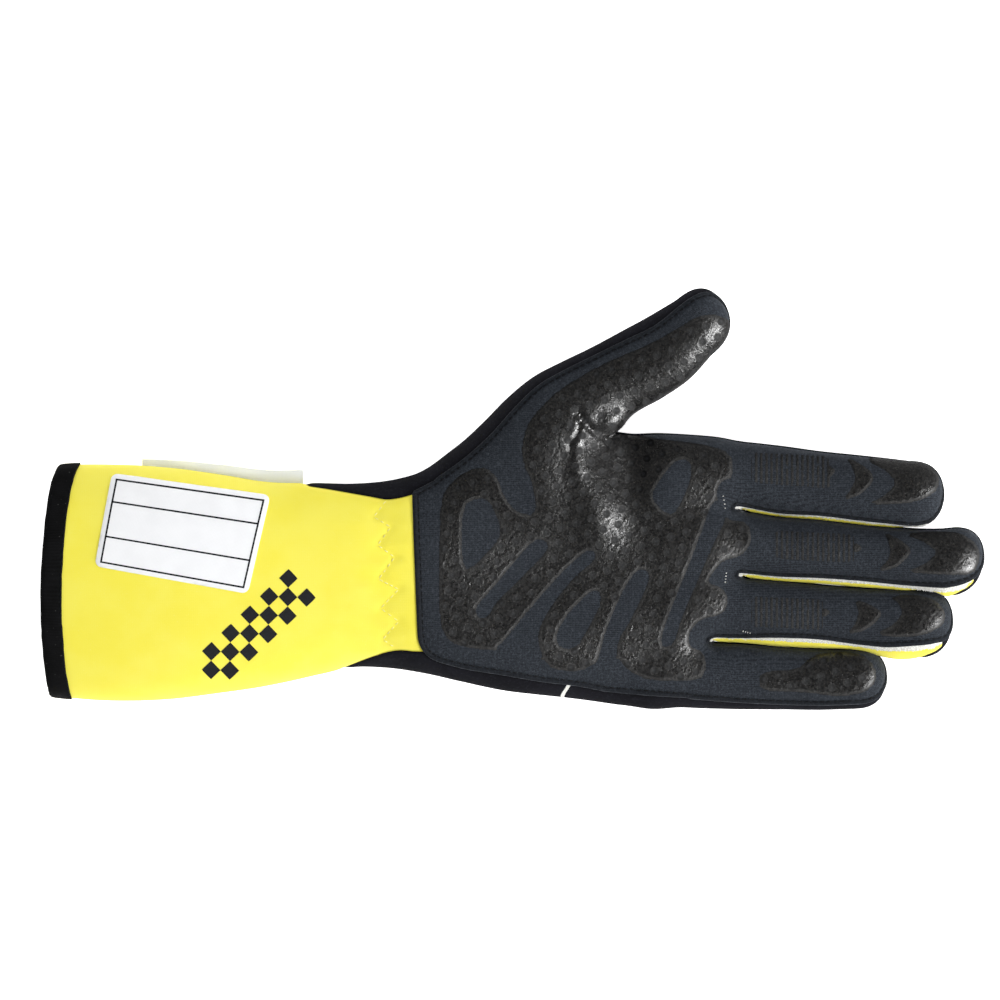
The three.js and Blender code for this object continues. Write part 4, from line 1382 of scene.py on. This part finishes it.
def printed_line(start, end, half, count=60):
    """A flat printed line on the patch, from one place to another in millimetres along and down it."""
    t = np.linspace(0, 1, count)[:, None]
    middle = np.array(start) * (1 - t) + np.array(end) * t
    side = np.array([-(end[1] - start[1]), end[0] - start[0]], float)
    side *= half / np.linalg.norm(side)
    rows = []
    for at in (middle - side, middle + side):
        rows.append(surface_under(patch_top, in_patch(at[:, 0] / WIDE, at[:, 1] / HIGH))[0])
    top = np.array(rows).transpose(1, 0, 2).reshape(-1, 3)
    n = len(top)
    vertices = np.concatenate([top + (0, 0, 0.05), top - (0, 0, 0.06)])
    i = np.arange(count - 1) * 2
    quads = [
        np.stack([i, i + 2, i + 3, i + 1], 1),
        np.stack([i + 1 + n, i + 3 + n, i + 2 + n, i + n], 1),
        np.stack([i + n, i + 2 + n, i + 2, i], 1),
        np.stack([i + 1, i + 3, i + 3 + n, i + 1 + n], 1),
        np.array([[0, 1, 1 + n, n], [n - 1, n - 2, 2 * n - 2, 2 * n - 1]]),
    ]
    return vertices, triangles(np.concatenate(quads))


FRAME_IN = 1.9
LINE_HALF = 0.3
left, right, top, bottom = FRAME_IN, WIDE - FRAME_IN, FRAME_IN, HIGH - FRAME_IN
dividers = [top + (bottom - top) * share for share in (0.27, 0.69)]
lines = [((left - LINE_HALF, y), (right + LINE_HALF, y)) for y in (top, bottom, *dividers)]
lines += [((x, top), (x, bottom)) for x in (left, right)]
frame_lines = joined([printed_line(a, b, LINE_HALF) for a, b in lines])
make("label_lines", *frame_lines, print_black)

# The tag that stands out of the thumb side.
TAG_FROM, TAG_TO = -125.6, -70.8


def tag_sheet():
    columns, rows = 90, 9
    x = np.linspace(TAG_FROM, TAG_TO, columns)
    out = np.interp(x, [TAG_FROM, TAG_TO], [2.2, 4.4])
    grid_x, share = np.meshgrid(x, np.linspace(0, 1, rows), indexing="ij")
    y = side_up(grid_x) - 1.2 + (1.2 + out[:, None]) * share
    z = 18.0 + 0.28 * share * np.sin(grid_x * 0.32) + 0.1 * share
    points = np.stack([grid_x, y, z], -1).reshape(-1, 3)
    faces = triangles(grid_quads(columns, rows)[:, [0, 3, 2, 1]])
    up = np.tile([0.0, 0.0, 1.0], (len(points), 1))
    solid, solid_faces = thicken(points, faces, up, 0.25, 0.25)
    return solid, solid_faces, np.tile(points[:, :2], (2, 1))


tag, tag_faces, tag_place = tag_sheet()
tag_white = label_material("white_tag", (240, 245, 255), (244, 248, 255))
piece = make("side_tag_cloth", tag, tag_faces, tag_white, place=tag_place)
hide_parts("side_tag")


def zigzag_rows():
    """Needle-sized stitches down the zigzag of the elastic."""
    rows = []
    for a, b in zip(ZIGZAG[:-1], ZIGZAG[1:]):
        count = max(int(np.hypot(*(b - a)) / 1.9), 2)
        t = (np.arange(count) + 0.5)[:, None] / count
        surface, normal = surface_under(ground, a * (1 - t) + b * t)
        along = np.tile([*(b - a), 0.0], (count, 1))
        along = unit(along - normal * (along * normal).sum(1)[:, None])
        rows += list(zip(surface + normal * 0.1, along, normal))
    return rows


thread, thread_faces = stitches(zigzag_rows(), length=1.4, radius=0.17)
make("elastic_stitches", thread, thread_faces, yellow_thread)


def decal(panel, field, lift, name, material, region, under=0.02, times=2):
    """A layer printed on a panel where field is negative, on faces cut finer so many times."""

    def keep(p, n):
        return region(p, n) & (field(p) < 2.0)

    points, faces = panel.near(keep)
    for _ in range(times - 1):
        points, faces = subdivide(points, faces)
    points, faces, _ = split(points, faces, field(points[:, :3]))
    points, faces = compact(points, faces)
    surface, outward = points[:, :3], unit(points[:, 3:6])
    raised, values = lift(surface, outward) if callable(lift) else (lift, {})
    solid, solid_faces = thicken(surface, faces, outward, raised, under)
    values = {key: np.tile(value, 2) for key, value in values.items()}
    piece = make(name, solid, solid_faces, material, values, weave_place(np.tile(surface, (2, 1))))


# A white line printed across the back where it comes round the little-finger side.
def side_line(p):
    x, y, z = p.T
    at = 17.3 + 2.2 * smooth(-67, -62.2, y)
    return most(np.abs(x - at) - 0.65, 6 - z, y + 60)


decal(back, side_line, 0.06, "side_line", white_thread, lambda p, n: p[:, 1] < -58)

# A plain chequered band runs across the cuff.
CHECK_FROM, CHECK_TO = plan([(207, 674), (303, 583)])
CHECK_SIDE = 4.6


def chequers(p):
    length = np.linalg.norm(CHECK_TO - CHECK_FROM)
    along = (CHECK_TO - CHECK_FROM) / length
    dx, dy = p[:, 0] - CHECK_FROM[0], p[:, 1] - CHECK_FROM[1]
    s = dx * along[0] + dy * along[1]
    t = -dx * along[1] + dy * along[0]
    side = length / round(length / CHECK_SIDE)
    wave = np.sin(math.pi * s / side) * np.cos(math.pi * t / side) * side / math.pi
    return most(-wave, -s, s - length, np.abs(t) - 1.5 * side)


decal(gauntlet, chequers, 0.07, "cuff_checks", print_black, lambda p, n: n[:, 2] > -0.2)

# The silicone print on the palm side. Its outlines are places in the photograph, seen from above.
PRINT_BODY = [
    (522, 445), (524, 465), (532, 480), (537, 505), (533, 516), (516, 513), (504, 498), (498, 480),
    (487, 468), (470, 470), (452, 482), (441, 500), (440, 560), (440, 622), (450, 642), (475, 648),
    (494, 649), (543, 657), (553, 669), (580, 671), (593, 663), (617, 655), (628, 670), (650, 680),
    (700, 680), (706, 666), (703, 653), (688, 646), (688, 632), (700, 618), (722, 614), (728, 600),
    (722, 588), (706, 583), (712, 572), (722, 560), (740, 556), (751, 543), (748, 523), (725, 520),
    (716, 500), (716, 488), (722, 480), (732, 477), (731, 453), (700, 444), (650, 439), (612, 428),
    (560, 400), (530, 422),
]
PRINT_THUMB = [
    (524, 436), (530, 422), (541, 408), (560, 390), (600, 366), (650, 345), (680, 328), (697, 317),
    (718, 315), (746, 332), (735, 350), (690, 400), (640, 440), (600, 446), (560, 446),
]
PRINT_GAPS = [
    [(462, 505), (478, 497), (490, 500), (501, 525), (500, 540), (468, 573), (461, 560)],
    [(534, 538), (547, 540), (549, 550), (520, 580), (497, 602), (488, 618), (478, 619), (474, 608),
     (490, 590), (510, 566)],
    [(585, 550), (595, 550), (596, 560), (575, 577), (556, 600), (541, 624), (538, 640), (545, 662),
     (500, 662), (494, 649), (507, 636), (532, 605), (560, 573)],
    [(590, 590), (600, 590), (602, 602), (590, 626), (578, 646), (567, 650), (556, 644), (556, 632),
     (568, 612)],
    [(636, 569), (648, 569), (650, 580), (640, 602), (630, 622), (618, 641), (617, 660), (594, 670),
     (600, 648), (608, 622), (622, 590)],
    [(712, 500), (726, 500), (727, 518), (713, 545), (694, 590), (681, 620), (674, 645), (662, 648),
     (660, 638), (671, 606), (690, 560), (703, 525)],
    [(672, 462), (684, 458), (692, 464), (691, 480), (683, 500), (673, 516), (662, 512), (652, 500),
     (652, 490)],
]
PRINT_RIBS = [
    [(752, 453), (828, 457), (829, 488), (752, 482)],
    [(775, 531), (853, 535), (853, 562), (775, 558)],
    [(752, 597), (822, 600), (822, 629), (752, 626)],
]
PRINT_NUBS = [
    [(829, 466), (835, 471), (829, 478)],
    [(854, 543), (862, 548), (854, 553)],
    [(823, 608), (830, 612), (823, 617)],
]
PRINT_PADS = [
    [(847, 458), (860, 464), (872, 474), (872, 482), (860, 494), (843, 500), (852, 488), (856, 478),
     (853, 468)],
    [(885, 533), (900, 540), (911, 550), (904, 560), (893, 568), (878, 571), (888, 560), (891, 550),
     (888, 541)],
    [(855, 600), (870, 605), (882, 613), (875, 622), (864, 630), (848, 634), (856, 623), (859, 612)],
    [(868, 461), (875, 452), (905, 452), (926, 460), (939, 475), (937, 489), (925, 498), (905, 503),
     (868, 504), (885, 496), (897, 483), (886, 470)],
    [(905, 534), (930, 532), (960, 533), (977, 545), (979, 560), (972, 574), (945, 574), (906, 572),
     (926, 564), (938, 552), (925, 542)],
    [(890, 597), (915, 595), (935, 600), (945, 612), (942, 625), (925, 634), (900, 637), (876, 634),
     (895, 624), (903, 612), (898, 602)],
    [(760, 672), (798, 670), (808, 660), (820, 654), (840, 652), (862, 655), (874, 666), (876, 681),
     (864, 692), (840, 696), (800, 691), (760, 690)],
]
RIB_PITCH = 1.75
DOT_PITCH = 5.35
DOT_TURN = math.radians(17)
DOT_RADIUS = 0.88


def rounded(outline, x, y, cut=0.22):
    """Distance to an outline with its corners cut, negative inside."""
    p = plan(outline)
    after = np.roll(p, -1, 0)
    cut_corners = np.stack([p * (1 - cut) + after * cut, p * cut + after * (1 - cut)], 1).reshape(-1, 2)
    return inside_of(cut_corners, x, y) - 0.32


def dots(x, y, allowed):
    """Distance to the nearest dot of the staggered rows that lies well inside the print."""
    c, s = math.cos(DOT_TURN), math.sin(DOT_TURN)
    p, q = x * c + y * s, -x * s + y * c
    row = DOT_PITCH * math.sqrt(3) / 2
    best = np.full(x.shape, 1e9)
    for shift in (0, 1):
        j = np.round((q / row - shift) / 2) * 2 + shift
        i = np.round(p / DOT_PITCH - shift / 2) + shift / 2
        dot_p, dot_q = i * DOT_PITCH, j * row
        away = np.hypot(p - dot_p, q - dot_q)
        fits = allowed(dot_p * c - dot_q * s, dot_p * s + dot_q * c) < -DOT_RADIUS - 0.35
        best = np.where(fits & (away < best), away, best)
    return best - DOT_RADIUS


def dotted_field(x, y):
    """The print that carries dots: the palm's and thumb's, and the little finger's pad."""
    big = np.minimum(rounded(PRINT_BODY, x, y), rounded(PRINT_THUMB, x, y))
    for gap in PRINT_GAPS:
        big = meet(big, -rounded(gap, x, y) - 0.64, 0.8)
    return np.minimum(big, rounded(PRINT_PADS[-1], x, y))


PRINT_LOWEST = 14  # the height under which nothing is printed


def print_field(p):
    """Distance to the print's edge, negative on it, with the gaps between its ribs left out."""
    x, y, z = p.T
    uneven = 0.08 * noise(p, 2.0, seed=41) + 0.05 * noise(p, 0.9, seed=42)
    dotted = dotted_field(x, y)
    plain = np.full(x.shape, 1e9)
    for outline in PRINT_PADS[:-1] + PRINT_NUBS:
        plain = np.minimum(plain, rounded(outline, x, y))
    ribs = np.full(x.shape, 1e9)
    for outline in PRINT_RIBS:
        ribs = np.minimum(ribs, rounded(outline, x, y, 0.06))
    line = (np.abs((x / RIB_PITCH) % 1 - 0.5) - 0.31) * RIB_PITCH
    field = np.minimum(dotted + uneven, np.minimum(plain + uneven, most(ribs, line) + 0.4 * uneven))
    return np.maximum(field, PRINT_LOWEST - z)


PRINT_HEIGHT = 0.2
DOT_SUNK = 0.1


def print_lift(surface, outward):
    """How far the print stands out, with its crumbs and sunk dots, and the measures its look needs."""
    away = -print_field(surface)
    crumb = 0.08 * noise(surface, 0.75, seed=43) + 0.06 * noise(surface, 0.45, seed=44)
    dot = dots(*surface[:, :2].T, dotted_field)
    in_dot = smooth(0.3, -0.4, dot)
    height = PRINT_HEIGHT * smooth(-0.1, 1.3, away) + crumb * smooth(0, 0.5, away) * (1 - in_dot)
    height -= DOT_SUNK * in_dot
    return height - 0.03 * (away < 0.02), {"rim": np.clip(away, 0, 2), "dot": np.clip(dot, -1, 2)}


def print_faces(p, n):
    return n[:, 2] > -0.25


decal(palm, print_field, print_lift, "grip_print", grip_material(), print_faces, 0.1, times=1)

# White bar tacks close the seams between the fingers.
palm_top = BVHTree.FromPolygons(palm.outer.tolist(), palm.faces.tolist())
BAR_TACKS = [((723, 496), (725, 508)), ((726, 573), (725, 582)), ((743, 631), (750, 633))]
rows = []
for start, end in BAR_TACKS:
    a, b = plan([start, end])
    for t in np.linspace(0, 1, 4):
        at = a * (1 - t) + b * t
        place, normal, _, _ = palm_top.ray_cast(Vector((at[0], at[1], 90)), Vector((0, 0, -1)))
        if place is None:
            continue
        normal = np.array(normal)
        direction = np.array([*(b - a), 0.0])
        across = np.cross(normal, direction)
        rows.append((np.array(place) + normal * 0.12, across / np.linalg.norm(across), normal))
tacks = stitches(rows, length=0.55, radius=0.13)
make("bar_tacks", *tacks, white_thread)


def box_light(name, place, aim, size, power, shines=False, lights=True):
    light = bpy.data.lights.new(name, "AREA")
    light.shape = "RECTANGLE"
    light.size, light.size_y = size
    light.energy = power
    lamp = bpy.data.objects.new(name, light)
    scene.collection.objects.link(lamp)
    lamp.visible_glossy = shines
    lamp.visible_diffuse = lights
    lamp.location = place
    lamp.rotation_euler = (Vector(aim) - Vector(place)).to_track_quat("-Z", "Y").to_euler()


# The pale floor, a soft studio round it, and the camera straight above.
floor_mesh = bpy.data.meshes.new("floor")
SIDE = 3.0
corners = [(-SIDE, -SIDE, 0), (SIDE, -SIDE, 0), (SIDE, SIDE, 0), (-SIDE, SIDE, 0)]
floor_mesh.from_pydata(corners, [], [(0, 1, 2, 3)])
floor = bpy.data.objects.new("floor", floor_mesh)
scene.collection.objects.link(floor)
floor_look = Shader("floor")
patchy = floor_look.range(floor_look.speckle(400), 0.3, 0.7)
floor_look.set(
    Base_Color=floor_look.mix(patchy, colour(250, 250, 250), colour(252, 252, 252)),
    Roughness=0.9,
    Specular_IOR_Level=0.1,
    Emission_Color=(1, 1, 1, 1),
    Emission_Strength=0.95,
)
floor.visible_glossy = False
floor_mesh.materials.append(floor_look.material)

world = bpy.data.worlds.new("studio")
scene.world = world
world.use_nodes = True
sky = world.node_tree
direction = sky.nodes.new("ShaderNodeTexCoord")
parts = sky.nodes.new("ShaderNodeSeparateXYZ")
height = sky.nodes.new("ShaderNodeMapRange")
sky.links.new(direction.outputs["Generated"], parts.inputs[0])
sky.links.new(parts.outputs["Z"], height.inputs["Value"])
height.inputs["To Min"].default_value = 0.3
height.inputs["To Max"].default_value = 0.12
sky.links.new(height.outputs[0], sky.nodes["Background"].inputs["Strength"])
sky.nodes["Background"].inputs["Color"].default_value = (1, 1, 1, 1)

box_light("key_from_the_fingers", (0.9, -0.4, 0.75), aim=(0.04, 0, 0.02), size=(0.35, 0.35), power=10.2)
box_light("rim_from_the_fingers", (1.3, -0.25, 0.22), aim=(0.1, 0, 0.02), size=(0.3, 0.3), power=8)
box_light(
    "glints", (1.05, -0.4, 0.5), aim=(0.03, 0, 0.02), size=(0.25, 0.25), power=34, shines=True, lights=False
)
box_light("fill_from_the_thumb", (0.1, 1.0, 0.9), aim=(0, 0, 0), size=(0.9, 0.6), power=6.3)
box_light("fill_from_the_wrist", (-1.0, 0.1, 0.9), aim=(0, 0, 0), size=(0.6, 0.9), power=3.2)
box_light("fill_from_the_little_finger", (-0.1, -1.0, 0.9), aim=(0, 0, 0), size=(0.9, 0.6), power=3.6)

LENS_AWAY = 6.0
SCALE_HEIGHT = 0.018  # how high over the floor the photograph's scale holds
SENSOR = 36
PHOTO_WIDE = 1000
FRAME_WIDE = PHOTO_WIDE * PIXEL * MM
camera = bpy.data.cameras.new("camera")
camera.sensor_width = SENSOR
camera.lens = SENSOR * (LENS_AWAY - SCALE_HEIGHT) / FRAME_WIDE
camera.clip_end = 20
eye = bpy.data.objects.new("camera", camera)
scene.collection.objects.link(eye)
eye.location = ((PHOTO_WIDE / 2 - MIDDLE_PIXEL[0]) * PIXEL * MM, 0, LENS_AWAY)
scene.camera = eye
scene.view_settings.view_transform = "Standard"
